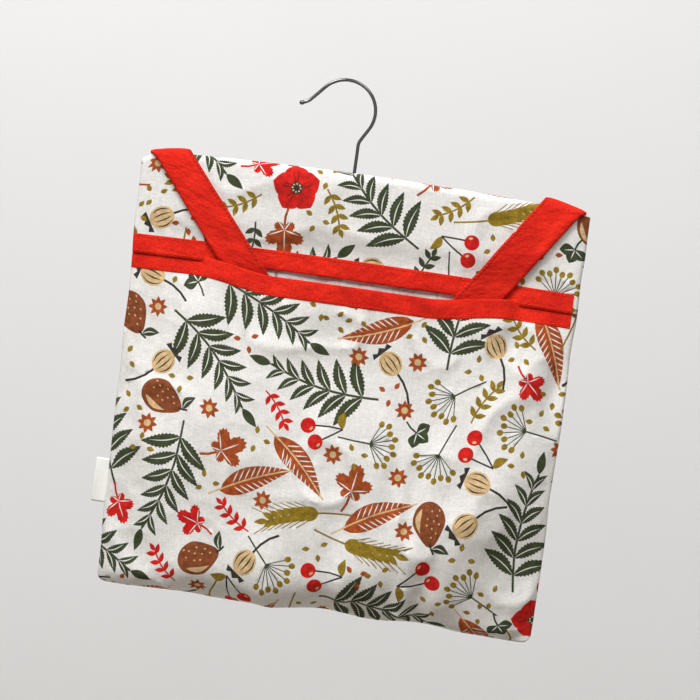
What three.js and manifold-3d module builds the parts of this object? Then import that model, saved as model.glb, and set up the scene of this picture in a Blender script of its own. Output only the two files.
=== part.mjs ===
// A cotton peg bag: a flat pouch with a bound slit mouth, hung on a wooden bar with a swivelling wire hook.
// A shoulder strap is sewn to both top corners and its loop is tucked into the mouth.
// Millimetres, +Z up along the hook's stem, the front faces -Y, +X to the right.
// The origin is the inner top of the hook's arc, the point that rests on a rail.

import * as THREE from "three";
import { mergeVertices } from "three/addons/utils/BufferGeometryUtils.js";
import Module from "manifold-3d";

const { degToRad, lerp, clamp, smoothstep } = THREE.MathUtils;
const wasm = await Module();
wasm.setup();

// Clearance between neighbouring pieces
const GAP = 0.3;

// Hook
const WIRE_D = 3;
const SADDLE_R = 20; // inner radius of the arc
const STEM_X = 12.6; // the stem stands this far right of the arc's centre
const NECK_LEAN = degToRad(30); // the neck leans this far from the stem
const NECK_R = 8;
const ARC_STOP = degToRad(138); // the arc ends here, counted from +X
const TIP_RUN = 12;
const TIP_FLARE_R = 13;
const TIP_FLARE = degToRad(34);
const TIP_BEAD_D = 4.2;
const STEM_SHOWN = 21.6; // from the neck's bend down to the bag's top edge
const RIVET_D = 6;
const RIVET_H = 2;
const WASHER_D = 8;
const WASHER_T = 1;

// Hanger bar
const BAR_T = 9;
const BAR_H = 20;
const BAR_SEAT = 0.5; // between the bar and the cloth that hangs on it
const BAR_END_CLEAR = 4; // from the bar's end to the strap's sewn tail

// Bag
const BAG_WIDTH = 318; // along the top edge
const BAG_FOOT_WIDTH = 309; // along the bottom
const BAG_HEIGHT = 308;
const BAG_X = 23.4; // the bag's middle, right of the hook's arc
const TOP_DROP = 4.8; // the top edge's arch, over half the bag's width
const CLOTH_T = 1;
const FRONT_BELLY = 22; // how far the front stands out from the seams
const BACK_BELLY = 15;
const WAIST_TOP = 42; // below the bar the panels draw together, from here down
const WAIST_DROP = 60; // and lie close to each other from here
const WAIST_EASE = 0.4; // between the back and the upper binding there
const BELLY_TOP = 78; // the belly starts here
const BELLY_DROP = 240; // and is fullest here
const FOOT_ROUND = 16; // height of the rounding at the bottom
const FOOT_CORNER_R = 9;
const BAR_SQUARENESS = 16; // how squarely the panels meet the side seams over the bar
const BELLY_SQUARENESS = 4; // and lower down
const SQUARE_DROP = 100; // the change is over this height
const WAVE_H = 2.2; // height of the broad waves in the slack cloth
const WAVE_FADE = 45; // they die out over this length towards the mouth and the bottom
const WIDE_WAVE_ACROSS = 96; // length of the wider waves, across the bag
const WIDE_WAVE_DOWN = 210; // and down it
const WIDE_WAVE_START = 0.7; // in radians
const WIDE_WAVE_SHARE = 0.6; // of the height; the closer waves have the rest
const CLOSE_WAVE_ACROSS = 61;
const CLOSE_WAVE_DOWN = 300; // these slant the other way
const CLOSE_WAVE_START = 2.1;
const SLACK = 0.45; // the share of the belly that is missing at the pouch's lower right corner
const SLACK_DROP = 170; // from the top edge to where it starts
const SLACK_FROM = 0.15; // and where it starts across, as a share of half the width
const HOOK_SLIT = 30; // length of the gap in the top seam that the stem passes through
const PARTING_RAMP = 8; // the parted seam closes over this length
const BAND_RAMP = 9; // the side seams thicken over this length beside the bindings
const BAND_MARGIN = 1; // and are thick this far past them

// Mouth
const MOUTH_DROP = 75; // from the top edge to the mouth
const MOUTH_SAG = 4.8; // the lower lip hangs this far at its middle
const LIP_FORWARD = 12; // the lower lip stands this far in front of the upper one
const LIP_REACH = 90; // the pouch leans forward over this height
const BINDING_W = 14;
const BINDING_T = 0.8;

// Shoulder strap
const STRAP_W = 26;
const STRAP_T = 1.8;
const STRAP_CORNER = 6.5; // from the bag's corner to the strap's outer edge
const STRAP_TAIL = 3; // length sewn into the top seam
const STRAP_RISE = 1; // the fold stands this far over the top edge
const STRAP_FOLD_TILT = degToRad(9);
const STRAP_LEAN_LEFT = degToRad(39); // from the vertical
const STRAP_LEAN_RIGHT = degToRad(35);
const STRAP_TUCK = 9; // from the mouth down to where the strap starts to hang free
const LOOP_SPAN = 170; // width of the loop at its widest
const LOOP_FOOT = 10; // from the loop's lowest point to the rounding at the bottom
const LOOP_TURN = [0.2, 0.9]; // the loop turns on edge over this part of its way to the foot
// Share of the half span, and share of the way down, on the loop's way from the mouth to its foot
const LOOP_BENDS = [[1, 0.45], [0.86, 0.85], [0.4, 0.99]];

// Label
const LABEL_W = 9.5;
const LABEL_H = 31;
const LABEL_T = 1.2;
const LABEL_DROP = 223; // from the top edge to the label

// Fineness of the meshes
const ARC_STEP = degToRad(9);
const BAG_COLUMNS = 18;
const COLUMN_APART = 0.008; // columns closer than this share of half the width become one
const NORMAL_STEP = 0.002; // the same share, for a surface's slope
const NORMAL_DROP = 0.05;
const BAR_ROWS = 1; // rows of the panels beside the bar
const BELLY_ROWS = 8; // and beside the belly
const BAR_STEPS = 12;
const BAR_ROUND_STEPS = 6;
const STRAP_ACROSS = 5;
const STRAP_FRONT_STEPS = 12;
const STRAP_LOOP_STEPS = 26;
const WIRE_SIDES = 10;
const ROUND_SIDES = 20;

// Sizes that follow
const wireR = WIRE_D / 2;
const arcR = SADDLE_R + wireR;
const neckZ = -SADDLE_R - arcR * Math.sin(NECK_LEAN)
  - (arcR * Math.cos(NECK_LEAN) - STEM_X) / Math.tan(NECK_LEAN);
const topZ = neckZ - STEM_SHOWN;
const foldR = BAR_T / 2 + BAR_SEAT + CLOTH_T / 2;
const barTopZ = topZ - foldR + BAR_T / 2;
const barFootZ = barTopZ - BAR_H;
const seamHalf = (GAP + CLOTH_T) / 2;
const bindingInner = CLOTH_T / 2 + GAP;
const bindingOuter = bindingInner + BINDING_T;
const backWaist = seamHalf;
const frontWaist = backWaist + CLOTH_T / 2 + WAIST_EASE + bindingOuter;
const anchorX = BAG_WIDTH / 2 - STRAP_CORNER - STRAP_W / 2; // a sewn strap end, from the bag's middle
const barHalf = anchorX - STRAP_W / 2 - BAR_END_CLEAR - Math.abs(BAG_X - STEM_X);

const materials = {
  steel: { color: 0x8d8a86, roughness: 0.28, metalness: 1 },
  wood: { color: 0xc79a63, roughness: 0.6, metalness: 0 },
  print: { color: 0xe9e3d8, roughness: 0.9, metalness: 0 },
  red: { color: 0xd2281c, roughness: 0.85, metalness: 0 },
  white: { color: 0xf2f1ee, roughness: 0.8, metalness: 0 },
};

// Meshes and solids

// A closed body through rings of equal count; each ring is an outer row and then an inner row, reversed.
function loft(rings) {
  const count = rings[0].length;
  const index = [];
  const quad = (a, b, c, d) => index.push(a, b, c, a, c, d);
  for (let i = 0; i + 1 < rings.length; i++) {
    for (let k = 0; k < count; k++) {
      const next = (k + 1) % count;
      quad(i * count + k, i * count + next, (i + 1) * count + next, (i + 1) * count + k);
    }
  }
  const last = (rings.length - 1) * count;
  for (let k = 0; k + 1 < count / 2; k++) {
    const [a, b, c, d] = [k, k + 1, count - 2 - k, count - 1 - k];
    quad(d, c, b, a);
    quad(last + a, last + b, last + c, last + d);
  }
  const points = rings.flat();
  let volume = 0;
  for (let i = 0; i < index.length; i += 3) {
    const [a, b, c] = [points[index[i]], points[index[i + 1]], points[index[i + 2]]];
    volume += a.dot(b.clone().cross(c));
  }
  if (volume < 0) index.reverse();
  return new THREE.BufferGeometry().setFromPoints(points).setIndex(index);
}

// A row of points given thickness along its normals, as one ring.
function ringOf(points, normals, half, shape = (p) => p) {
  const side = (sign) => points.map((p, i) => shape(p.clone().addScaledVector(normals[i], sign * half)));
  return [...side(1), ...side(-1).reverse()];
}

function solid(geometry) {
  const bare = geometry.clone();
  bare.deleteAttribute("normal");
  bare.deleteAttribute("uv");
  const merged = mergeVertices(bare, 1e-4);
  return new wasm.Manifold(new wasm.Mesh({
    numProp: 3,
    vertProperties: merged.attributes.position.array,
    triVerts: new Uint32Array(merged.index.array),
  }));
}

function geometryOf(body) {
  const { vertProperties, triVerts } = body.getMesh();
  return new THREE.BufferGeometry()
    .setAttribute("position", new THREE.BufferAttribute(vertProperties, 3))
    .setIndex(new THREE.BufferAttribute(triVerts, 1));
}

function cylinder(radius, low, high) {
  return new THREE.CylinderGeometry(radius, radius, high - low, ROUND_SIDES)
    .rotateX(Math.PI / 2)
    .translate(STEM_X, 0, (low + high) / 2);
}

// Hook: a route in the XZ plane, walked as straight runs and bends

class Route extends THREE.Curve {
  constructor(points) {
    super();
    this.points = points;
    this.marks = [0];
    for (let i = 1; i < points.length; i++) {
      this.marks.push(this.marks[i - 1] + points[i].distanceTo(points[i - 1]));
    }
  }

  getPoint(t, target = new THREE.Vector3()) {
    const at = t * this.marks.at(-1);
    const next = clamp(this.marks.findIndex((mark) => mark >= at), 1, this.points.length - 1);
    const share = (at - this.marks[next - 1]) / (this.marks[next] - this.marks[next - 1]);
    return target.lerpVectors(this.points[next - 1], this.points[next], share);
  }
}

// heading is counted from +X towards +Z; a positive bend turns left.
function walk(x, z, heading, moves) {
  const points = [new THREE.Vector3(x, 0, z)];
  const forward = (length) => {
    x += length * Math.cos(heading);
    z += length * Math.sin(heading);
    points.push(new THREE.Vector3(x, 0, z));
  };
  for (const { run, radius, bend } of moves) {
    if (run) forward(run);
    if (!bend) continue;
    const steps = Math.ceil(Math.abs(bend) / ARC_STEP);
    const chord = 2 * radius * Math.sin(Math.abs(bend) / steps / 2);
    for (let i = 0; i < steps; i++) {
      heading += bend / steps / 2;
      forward(chord);
      heading += bend / steps / 2;
    }
  }
  return points;
}

function hookWire() {
  const washerFoot = barFootZ - GAP - WASHER_T;
  const rivetTop = washerFoot - GAP;
  const neckCut = NECK_R * Math.tan(NECK_LEAN / 2);
  const neckRun = (arcR * Math.cos(NECK_LEAN) - STEM_X) / Math.sin(NECK_LEAN);
  const stemFoot = rivetTop - RIVET_H / 2;
  const points = walk(STEM_X, stemFoot, Math.PI / 2, [
    { run: neckZ - neckCut - stemFoot },
    { radius: NECK_R, bend: -NECK_LEAN },
    { run: neckRun - neckCut },
    { radius: arcR, bend: ARC_STOP + NECK_LEAN },
    { run: TIP_RUN },
    { radius: TIP_FLARE_R, bend: -TIP_FLARE },
  ]);
  const section = new THREE.Shape().absarc(0, 0, wireR, 0, 2 * Math.PI);
  const route = new Route(points);
  const wire = new THREE.ExtrudeGeometry(section, {
    curveSegments: WIRE_SIDES / 2,
    steps: Math.ceil(route.getLength() / WIRE_D),
    extrudePath: route,
  });
  const tip = points.at(-1);
  const bead = new THREE.SphereGeometry(TIP_BEAD_D / 2, ROUND_SIDES / 2, ROUND_SIDES / 4)
    .translate(tip.x, tip.y, tip.z);
  const rivet = cylinder(RIVET_D / 2, rivetTop - RIVET_H, rivetTop);
  return geometryOf(solid(wire).add(solid(bead)).add(solid(rivet)));
}

function shankWasher() {
  const [low, high] = [barFootZ - GAP - WASHER_T, barFootZ - GAP];
  const [inner, outer] = [wireR + GAP, WASHER_D / 2];
  const corners = [[inner, low], [outer, low], [outer, high], [inner, high], [inner, low]];
  const profile = corners.map(([r, z]) => new THREE.Vector2(r, z));
  return new THREE.LatheGeometry(profile, ROUND_SIDES).rotateX(Math.PI / 2).translate(STEM_X, 0, 0);
}

// Bag surfaces: u runs across from -1 to 1, and depth runs down from the top edge

const topDropAt = (x) => TOP_DROP * ((x - STEM_X) / (BAG_WIDTH / 2)) ** 2;
const archFade = (depth) => (1 - depth / BAG_HEIGHT) ** 4;
const heightAt = (x, depth) => topZ - topDropAt(x) * archFade(depth) - depth;

function depthAt(x, z) {
  let depth = topZ - z;
  for (let i = 0; i < 4; i++) depth = topZ - topDropAt(x) * archFade(Math.max(depth, 0)) - z;
  return depth;
}

function halfWidth(depth) {
  const side = lerp(BAG_WIDTH, BAG_FOOT_WIDTH, depth / BAG_HEIGHT) / 2;
  const turn = clamp((depth - BAG_HEIGHT) / FOOT_CORNER_R + 1, 0, 1);
  return side - FOOT_CORNER_R * (1 - Math.sqrt(1 - turn * turn));
}

// How far a panel stands out from the seams at the bag's middle: out over the bar, in at the waist and out
// again at the belly.
function standOut(side, depth) {
  if (depth < foldR) return Math.sqrt(foldR ** 2 - (foldR - depth) ** 2);
  const waist = lerp(foldR, side.waist, smoothstep(depth, WAIST_TOP, WAIST_DROP));
  const fill = Math.sin((Math.PI / 2) * clamp((depth - BELLY_TOP) / (BELLY_DROP - BELLY_TOP), 0, 1));
  const full = lerp(waist, side.belly, fill);
  const under = clamp((depth - BAG_HEIGHT) / FOOT_ROUND + 1, 0, 1);
  return full * Math.sqrt(1 - under * under);
}

// Broad waves in the slack cloth, held still by the seams, the bindings and the bottom.
function waves(u, depth) {
  const x = (u * BAG_WIDTH) / 2;
  const wave = (across, down, start) => Math.sin(2 * Math.PI * (x / across + depth / down) + start);
  const wide = WIDE_WAVE_SHARE * wave(WIDE_WAVE_ACROSS, WIDE_WAVE_DOWN, WIDE_WAVE_START);
  const close = (1 - WIDE_WAVE_SHARE) * wave(CLOSE_WAVE_ACROSS, -CLOSE_WAVE_DOWN, CLOSE_WAVE_START);
  const foot = BAG_HEIGHT - FOOT_ROUND;
  const started = smoothstep(depth, BELLY_TOP, BELLY_TOP + WAVE_FADE);
  const ended = smoothstep(depth, foot - WAVE_FADE, foot);
  return WAVE_H * started * (1 - ended) * (wide + close);
}

const slackCorner = (u, depth) =>
  SLACK * smoothstep(depth, SLACK_DROP, BAG_HEIGHT) * smoothstep(u, SLACK_FROM, 1);

// How much of that is left towards the side seams: square over the bar, round lower down.
function fullness(u, depth) {
  const power = lerp(BAR_SQUARENESS, BELLY_SQUARENESS, clamp(depth / SQUARE_DROP, 0, 1));
  return 1 - Math.abs(u) ** power;
}

// The top seam parts round the stem and round the strap's sewn tails.
const seamPartings = [
  { x: BAG_X, half: HOOK_SLIT / 2, open: wireR + GAP + CLOTH_T / 2 },
  { x: BAG_X - anchorX, half: STRAP_W / 2 + GAP, open: STRAP_T / 2 + GAP + CLOTH_T / 2 },
  { x: BAG_X + anchorX, half: STRAP_W / 2 + GAP, open: STRAP_T / 2 + GAP + CLOTH_T / 2 },
];

function seamParting(x, depth) {
  if (depth > foldR) return 0;
  const open = seamPartings.map((part) =>
    part.open * (1 - smoothstep(Math.abs(x - part.x), part.half, part.half + PARTING_RAMP)));
  return Math.max(...open);
}

// The side seams thicken where they take in the bindings.
function bindingBand(depth) {
  const [low, high] = [MOUTH_DROP - BINDING_W, MOUTH_DROP + BINDING_W + GAP];
  const [from, to] = [low - BAND_MARGIN, high + BAND_MARGIN];
  return smoothstep(depth, from - BAND_RAMP, from) * (1 - smoothstep(depth, to, to + BAND_RAMP));
}

function panelPoint(side, u, depth) {
  const x = BAG_X + u * halfWidth(depth);
  const full = fullness(u, depth);
  const edge = Math.max(lerp(seamHalf, GAP / 2, full), seamParting(x, depth));
  const band = side.bound ? bindingBand(depth) * (GAP + BINDING_T) : 0;
  const stand = standOut(side, depth) * (1 - side.slack(u, depth)) + waves(u, depth);
  const swell = stand * full + (seamHalf + band) * (1 - full);
  const out = Math.max(edge, swell) + side.lip(u, depth);
  return new THREE.Vector3(x, side.facing * out, heightAt(x, depth));
}

function panelNormal(side, u, depth) {
  const [du, dd] = [NORMAL_STEP, NORMAL_DROP];
  const at = (a, b) => panelPoint(side, clamp(a, -1, 1), clamp(b, 0, BAG_HEIGHT));
  const across = at(u + du, depth).sub(at(u - du, depth));
  const down = at(u, depth + dd).sub(at(u, depth - dd));
  return across.cross(down).multiplyScalar(side.facing).normalize();
}

const upperFold = () => MOUTH_DROP;
const lowerFold = (u) => MOUTH_DROP + GAP + MOUTH_SAG * (1 - u * u);

function lipForward(u, depth) {
  const below = clamp((depth - lowerFold(u)) / LIP_REACH, 0, 1);
  return LIP_FORWARD * (1 - Math.abs(u) ** 3) * (1 - below) ** 2;
}

const none = () => 0;
const backSide = { facing: 1, waist: backWaist, belly: BACK_BELLY, lip: none, slack: none, bound: false };
const yokeSide = { facing: -1, waist: frontWaist, belly: FRONT_BELLY, lip: none, slack: none, bound: true };
const pouchSide = { ...yokeSide, lip: lipForward, slack: slackCorner };

const bagColumns = (() => {
  const marks = Array.from({ length: BAG_COLUMNS + 1 }, (_, i) => (2 * i) / BAG_COLUMNS - 1);
  for (const { x, half } of seamPartings) {
    for (const reach of [half, half + PARTING_RAMP]) {
      marks.push((x - BAG_X - reach) / (BAG_WIDTH / 2), (x - BAG_X + reach) / (BAG_WIDTH / 2));
    }
  }
  const sorted = marks.filter((u) => Math.abs(u) <= 1).sort((a, b) => a - b);
  return sorted.filter((u, i) => i === 0 || u - sorted[i - 1] > COLUMN_APART);
})();

// Depths that round the fold over the bar, and the turn at the bottom.
const quarter = (steps) => Array.from({ length: steps + 1 }, (_, i) => ((Math.PI / 2) * i) / steps);
const topRows = quarter(3).map((turn) => foldR * (1 - Math.cos(turn)));
const footRows = quarter(4).map((turn) => BAG_HEIGHT - FOOT_ROUND * (1 - Math.sin(turn)));
const between = (from, to, count) =>
  Array.from({ length: count }, (_, i) => lerp(from, to, (i + 1) / (count + 1)));

function panel(side, rowsAt) {
  const inside = (p) => {
    p.y = side.facing * Math.max(side.facing * p.y, GAP / 2);
    return p;
  };
  return loft(bagColumns.map((u) => {
    const rows = rowsAt(u);
    const points = rows.map((depth) => panelPoint(side, u, depth));
    const normals = rows.map((depth) => panelNormal(side, u, depth));
    return ringOf(points, normals, CLOTH_T / 2, inside);
  }));
}

const barRows = [...between(foldR, WAIST_TOP, BAR_ROWS), WAIST_TOP];

function backPanel() {
  const belly = between(BELLY_TOP, BAG_HEIGHT - FOOT_ROUND, BELLY_ROWS);
  const rows = [...topRows, ...barRows, WAIST_DROP, BELLY_TOP, ...belly, ...footRows];
  return panel(backSide, () => rows);
}

function frontYoke() {
  const taken = upperFold() - BINDING_W;
  const rows = [...topRows, ...barRows, taken, upperFold() - BINDING_T - GAP];
  return panel(yokeSide, () => rows);
}

function frontPouch() {
  return panel(pouchSide, (u) => {
    const taken = lowerFold(u) + BINDING_W;
    const rows = between(taken, BAG_HEIGHT - FOOT_ROUND, BELLY_ROWS);
    return [lowerFold(u) + BINDING_T + GAP, taken, ...rows, ...footRows];
  });
}

// A tape folded over a panel's edge; inward is 1 where the panel lies below the fold and -1 where above.
function binding(side, foldAt, inward) {
  return loft(bagColumns.map((u) => {
    const corner = (depth, off) =>
      panelPoint(side, u, depth).addScaledVector(panelNormal(side, u, depth), off);
    const fold = foldAt(u);
    const [lining, hem] = [fold + inward * BINDING_T, fold + inward * BINDING_W];
    return [
      corner(hem, bindingOuter), corner(fold, bindingOuter),
      corner(fold, -bindingOuter), corner(hem, -bindingOuter),
      corner(hem, -bindingInner), corner(lining, -bindingInner),
      corner(lining, bindingInner), corner(hem, bindingInner),
    ];
  }));
}

// Hanger bar: round along its top, flat below, arched as the top edge is

function hangerBar() {
  const half = BAR_T / 2;
  const round = Array.from({ length: BAR_ROUND_STEPS + 1 }, (_, i) => Math.PI * (1 - i / BAR_ROUND_STEPS));
  const rings = Array.from({ length: BAR_STEPS + 1 }, (_, i) => {
    const x = STEM_X + barHalf * ((2 * i) / BAR_STEPS - 1);
    const z = barTopZ - half - topDropAt(x);
    const over = round.map((turn) => new THREE.Vector3(x, half * Math.cos(turn), z + half * Math.sin(turn)));
    const foot = z + half - BAR_H;
    const under = round.map((turn) => new THREE.Vector3(x, half * Math.cos(turn), foot)).reverse();
    return [...over, ...under];
  });
  const bore = cylinder(wireR + GAP, barFootZ - BAR_H, barTopZ + BAR_H);
  return geometryOf(solid(loft(rings)).subtract(solid(bore)));
}

// Shoulder strap

// The strap lies over the yoke, clear of the upper binding.
const strapOff = bindingOuter + GAP + STRAP_T / 2;

function strapOver(x, z) {
  const depth = Math.max(depthAt(x, z), foldR);
  const u = clamp((x - BAG_X) / halfWidth(depth), -1, 1);
  const normal = panelNormal(yokeSide, u, depth);
  const y = panelPoint(yokeSide, u, depth).y - strapOff / Math.abs(normal.y);
  return { point: new THREE.Vector3(x, y, z), normal };
}

const acrossSteps = Array.from({ length: STRAP_ACROSS }, (_, j) => STRAP_W * (j / (STRAP_ACROSS - 1) - 0.5));

// The rings from the sewn tail, over the fold and down to the mouth. hand is 1 at the left corner.
function strapFront(hand, lean) {
  const middleX = BAG_X - hand * anchorX;
  const edgeZ = heightAt(middleX, 0);
  const place = (x, z, tilt) => acrossSteps.map((step) => ({
    x: x + hand * step * Math.cos(tilt),
    z: z + step * Math.sin(tilt),
  }));
  const topSlope = Math.atan2(heightAt(middleX + hand, 0) - edgeZ, 1);
  const rings = [];
  const tail = place(middleX, edgeZ - STRAP_TAIL, topSlope);
  rings.push(ringOf(
    tail.map(({ x, z }) => new THREE.Vector3(x, 0, z)),
    tail.map(() => new THREE.Vector3(0, 1, 0)),
    STRAP_T / 2,
  ));
  for (const turn of [0, 45, 90, 135, 180].map(degToRad)) {
    const spots = place(middleX, edgeZ + STRAP_RISE, lerp(topSlope, STRAP_FOLD_TILT, turn / Math.PI));
    rings.push(ringOf(
      spots.map(({ x, z }) => {
        const bendR = -strapOver(x, edgeZ - foldR).point.y / 2;
        return new THREE.Vector3(x, bendR * (Math.cos(turn) - 1), z + bendR * Math.sin(turn));
      }),
      spots.map(() => new THREE.Vector3(0, Math.cos(turn), Math.sin(turn))),
      STRAP_T / 2,
    ));
  }
  const start = (STRAP_W / 2) * Math.tan(lean) + STRAP_RISE;
  const end = (MOUTH_DROP + STRAP_TUCK + STRAP_RISE) / Math.cos(lean);
  for (let i = 0; i <= STRAP_FRONT_STEPS; i++) {
    const along = lerp(start, end, i / STRAP_FRONT_STEPS);
    const x = middleX + hand * along * Math.sin(lean);
    const z = edgeZ + STRAP_RISE - along * Math.cos(lean);
    const spots = place(x, z, lean).map((spot) => strapOver(spot.x, spot.z));
    rings.push(ringOf(spots.map((s) => s.point), spots.map((s) => s.normal), STRAP_T / 2));
  }
  return rings;
}

function ringMiddle(ring) {
  return ring.reduce((sum, p) => sum.add(p), new THREE.Vector3()).divideScalar(ring.length);
}

// The loop hangs free inside the pouch and turns on edge at its foot.
function strapLoop(fromRing, toRing) {
  const [from, to] = [ringMiddle(fromRing), ringMiddle(toRing)];
  const footZ = topZ - BAG_HEIGHT + FOOT_ROUND + LOOP_FOOT;
  const footY = (BACK_BELLY - FRONT_BELLY) / 2;
  const side = (hand, start) => LOOP_BENDS.map(([out, down]) => new THREE.Vector3(
    BAG_X + (hand * out * LOOP_SPAN) / 2,
    lerp(footY, start.y, (1 - down) ** 3),
    lerp(start.z, footZ, down),
  ));
  const foot = new THREE.Vector3(BAG_X, footY, footZ);
  const path = new THREE.CatmullRomCurve3([
    from, ...side(-1, from), foot, ...side(1, to).reverse(), to,
  ]);
  const widthOf = (ring) => ring[STRAP_ACROSS - 1].clone().sub(ring[0]).normalize();
  const onEdge = new THREE.Vector3(0, 1, 0);
  const rings = [];
  for (let i = 1; i < STRAP_LOOP_STEPS; i++) {
    const t = i / STRAP_LOOP_STEPS;
    const end = t < 0.5 ? widthOf(fromRing) : widthOf(toRing);
    const turned = smoothstep(1 - Math.abs(2 * t - 1), ...LOOP_TURN);
    const tangent = path.getTangentAt(t);
    const width = end.lerp(onEdge, turned);
    width.addScaledVector(tangent, -width.dot(tangent)).normalize();
    const middle = path.getPointAt(t);
    const normal = tangent.clone().cross(width);
    rings.push(ringOf(
      acrossSteps.map((step) => middle.clone().addScaledVector(width, step)),
      acrossSteps.map(() => normal),
      STRAP_T / 2,
    ));
  }
  return rings;
}

function shoulderStrap() {
  const left = strapFront(1, STRAP_LEAN_LEFT);
  const right = strapFront(-1, STRAP_LEAN_RIGHT).reverse();
  return loft([...left, ...strapLoop(left.at(-1), right[0]), ...right]);
}

function sideLabel() {
  const middle = LABEL_DROP + LABEL_H / 2;
  const seam = Math.max(halfWidth(LABEL_DROP), halfWidth(LABEL_DROP + LABEL_H));
  return new THREE.BoxGeometry(LABEL_W, LABEL_T, LABEL_H)
    .translate(BAG_X - seam - GAP - LABEL_W / 2, 0, topZ - middle);
}

// Assembly

const bag = new THREE.Group();
const pieces = [
  ["hook_wire", hookWire(), materials.steel],
  ["shank_washer", shankWasher(), materials.steel],
  ["hanger_bar", hangerBar(), materials.wood],
  ["back_panel", backPanel(), materials.print],
  ["front_yoke", frontYoke(), materials.print],
  ["front_pouch", frontPouch(), materials.print],
  ["upper_binding", binding(yokeSide, upperFold, -1), materials.red],
  ["lower_binding", binding(pouchSide, lowerFold, 1), materials.red],
  ["shoulder_strap", shoulderStrap(), materials.red],
  ["side_label", sideLabel(), materials.white],
];
for (const [name, geometry, finish] of pieces) {
  const mesh = new THREE.Mesh(geometry, new THREE.MeshStandardMaterial(finish));
  mesh.name = name;
  bag.add(mesh);
}

export default bag;
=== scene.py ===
"""A cotton peg bag on a wire hook: printed panels, a red bound mouth and a shoulder strap tucked into it.

Shapes are worked out in millimetres, in the frame of the CAD model, and become metres in the meshes.
"""
import math

import bpy
import numpy as np
from mathutils import Matrix, Vector
from mathutils.geometry import delaunay_2d_cdt


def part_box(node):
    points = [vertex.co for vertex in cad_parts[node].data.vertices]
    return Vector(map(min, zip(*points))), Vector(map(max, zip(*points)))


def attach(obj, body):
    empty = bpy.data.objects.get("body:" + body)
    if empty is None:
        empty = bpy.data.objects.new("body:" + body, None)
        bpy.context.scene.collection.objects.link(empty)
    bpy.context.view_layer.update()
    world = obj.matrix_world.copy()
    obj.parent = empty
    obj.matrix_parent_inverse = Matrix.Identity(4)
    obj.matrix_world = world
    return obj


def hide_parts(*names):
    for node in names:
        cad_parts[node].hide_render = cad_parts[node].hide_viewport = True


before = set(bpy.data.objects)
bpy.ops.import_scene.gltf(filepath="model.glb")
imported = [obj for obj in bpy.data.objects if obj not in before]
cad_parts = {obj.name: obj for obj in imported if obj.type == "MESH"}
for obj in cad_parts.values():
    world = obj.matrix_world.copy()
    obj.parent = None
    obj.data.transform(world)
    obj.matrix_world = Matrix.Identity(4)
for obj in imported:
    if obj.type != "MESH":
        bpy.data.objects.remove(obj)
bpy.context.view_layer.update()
bpy.ops.object.select_all(action="DESELECT")

MM = 0.001

# Hook
WIRE_R = 1.5
WIRE_DRAWN = 0.8  # the bright wire is drawn thinner
SADDLE_R = 20
STEM_X = 12.6
STEM_SHOWN = 21.6
NECK_LEAN = math.radians(30)
NECK_R = 8
ARC_STOP = math.radians(138)
TIP_RUN = 12
TIP_FLARE_R = 13
TIP_FLARE = math.radians(34)
TIP_BEAD_R = 2.1

# Bag
BAG_WIDTH = 318
BAG_FOOT_WIDTH = 309
BAG_HEIGHT = 308
BAG_X = 23.4
SWAY = 4.5  # the bottom hangs this much farther right than the top
SWAY_STILL = 0.35  # and at this share of the height it is in its place
TOP_DROP = 4.8  # of the arched top edge
TOP_DROP_FADE = 4  # a power
TOP_CORNER_DROP = (5.0, 2.5)  # the left and the right top corner hang lower than the rest
TOP_CORNER_FROM = 0.93  # from this share of half the width
TOP_CORNER_REACH = 45  # and down to this depth
FOLD_R = 5.5
FRONT_BELLY = 22
BACK_BELLY = 15
FRONT_WAIST = 3.15
BACK_WAIST = 0.65
WAIST_TOP = 42  # below the bar the panels draw together, from here down
WAIST_DROP = 60  # and lie close to each other from here
WAIST_PARTS = (12, 60)  # until they part, between these depths below the belly's top
BELLY_TOP = 78  # the belly starts here
BELLY_DROP = 240  # and is fullest here
WAVE_H = 2.2
WAVE_END = 290  # the waves have died out at this depth, as at the mouth
WAVE_FADE = 45
WAVES = ((96, 210, 0.7, 0.6), (61, -300, 2.1, 0.4))  # length across, length down, start and share of each
DRAG_START = (37, 298)  # a fold drawn across the pouch, as (x, depth), from its foot
DRAG_END = (180, 186)  # to its right side
DRAG_RISE = 5
DRAG_WIDTH = 38
FOOT_TURN = (14, 27, 105)  # height of the turn at the bottom: left corner, middle and right corner
FOOT_LOW_TO = -0.3  # the low left corner ends here, as a share of half the width
FOOT_RISE_FROM = 0.05  # and here the turn starts to rise to the right corner
FOOT_SLACK = 12  # how much longer the cloth in the turn is than the turn is high
FOOT_CORNER_R = 6
FOOT_WAVE = 2.0
FOOT_WAVE_LENGTH = 34
FOOT_WAVE_REACH = 60
SIDE_WAVE = 0.7
SIDE_WAVE_LENGTH = 26
SIDE_WAVE_ROW = 4
SIDE_WAVE_FROM = (10, 40)  # depths
SIDE_WAVE_FADE = 6  # a power
BAR_SQUARENESS = 16  # how squarely the panels meet the side seams over the bar
BELLY_SQUARENESS = 4  # and at the belly
SQUARE_DROP = 100
EDGE_ROUND = 3
SEAM_GAP = 0.25
CLOTH_T = 0.7

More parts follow.
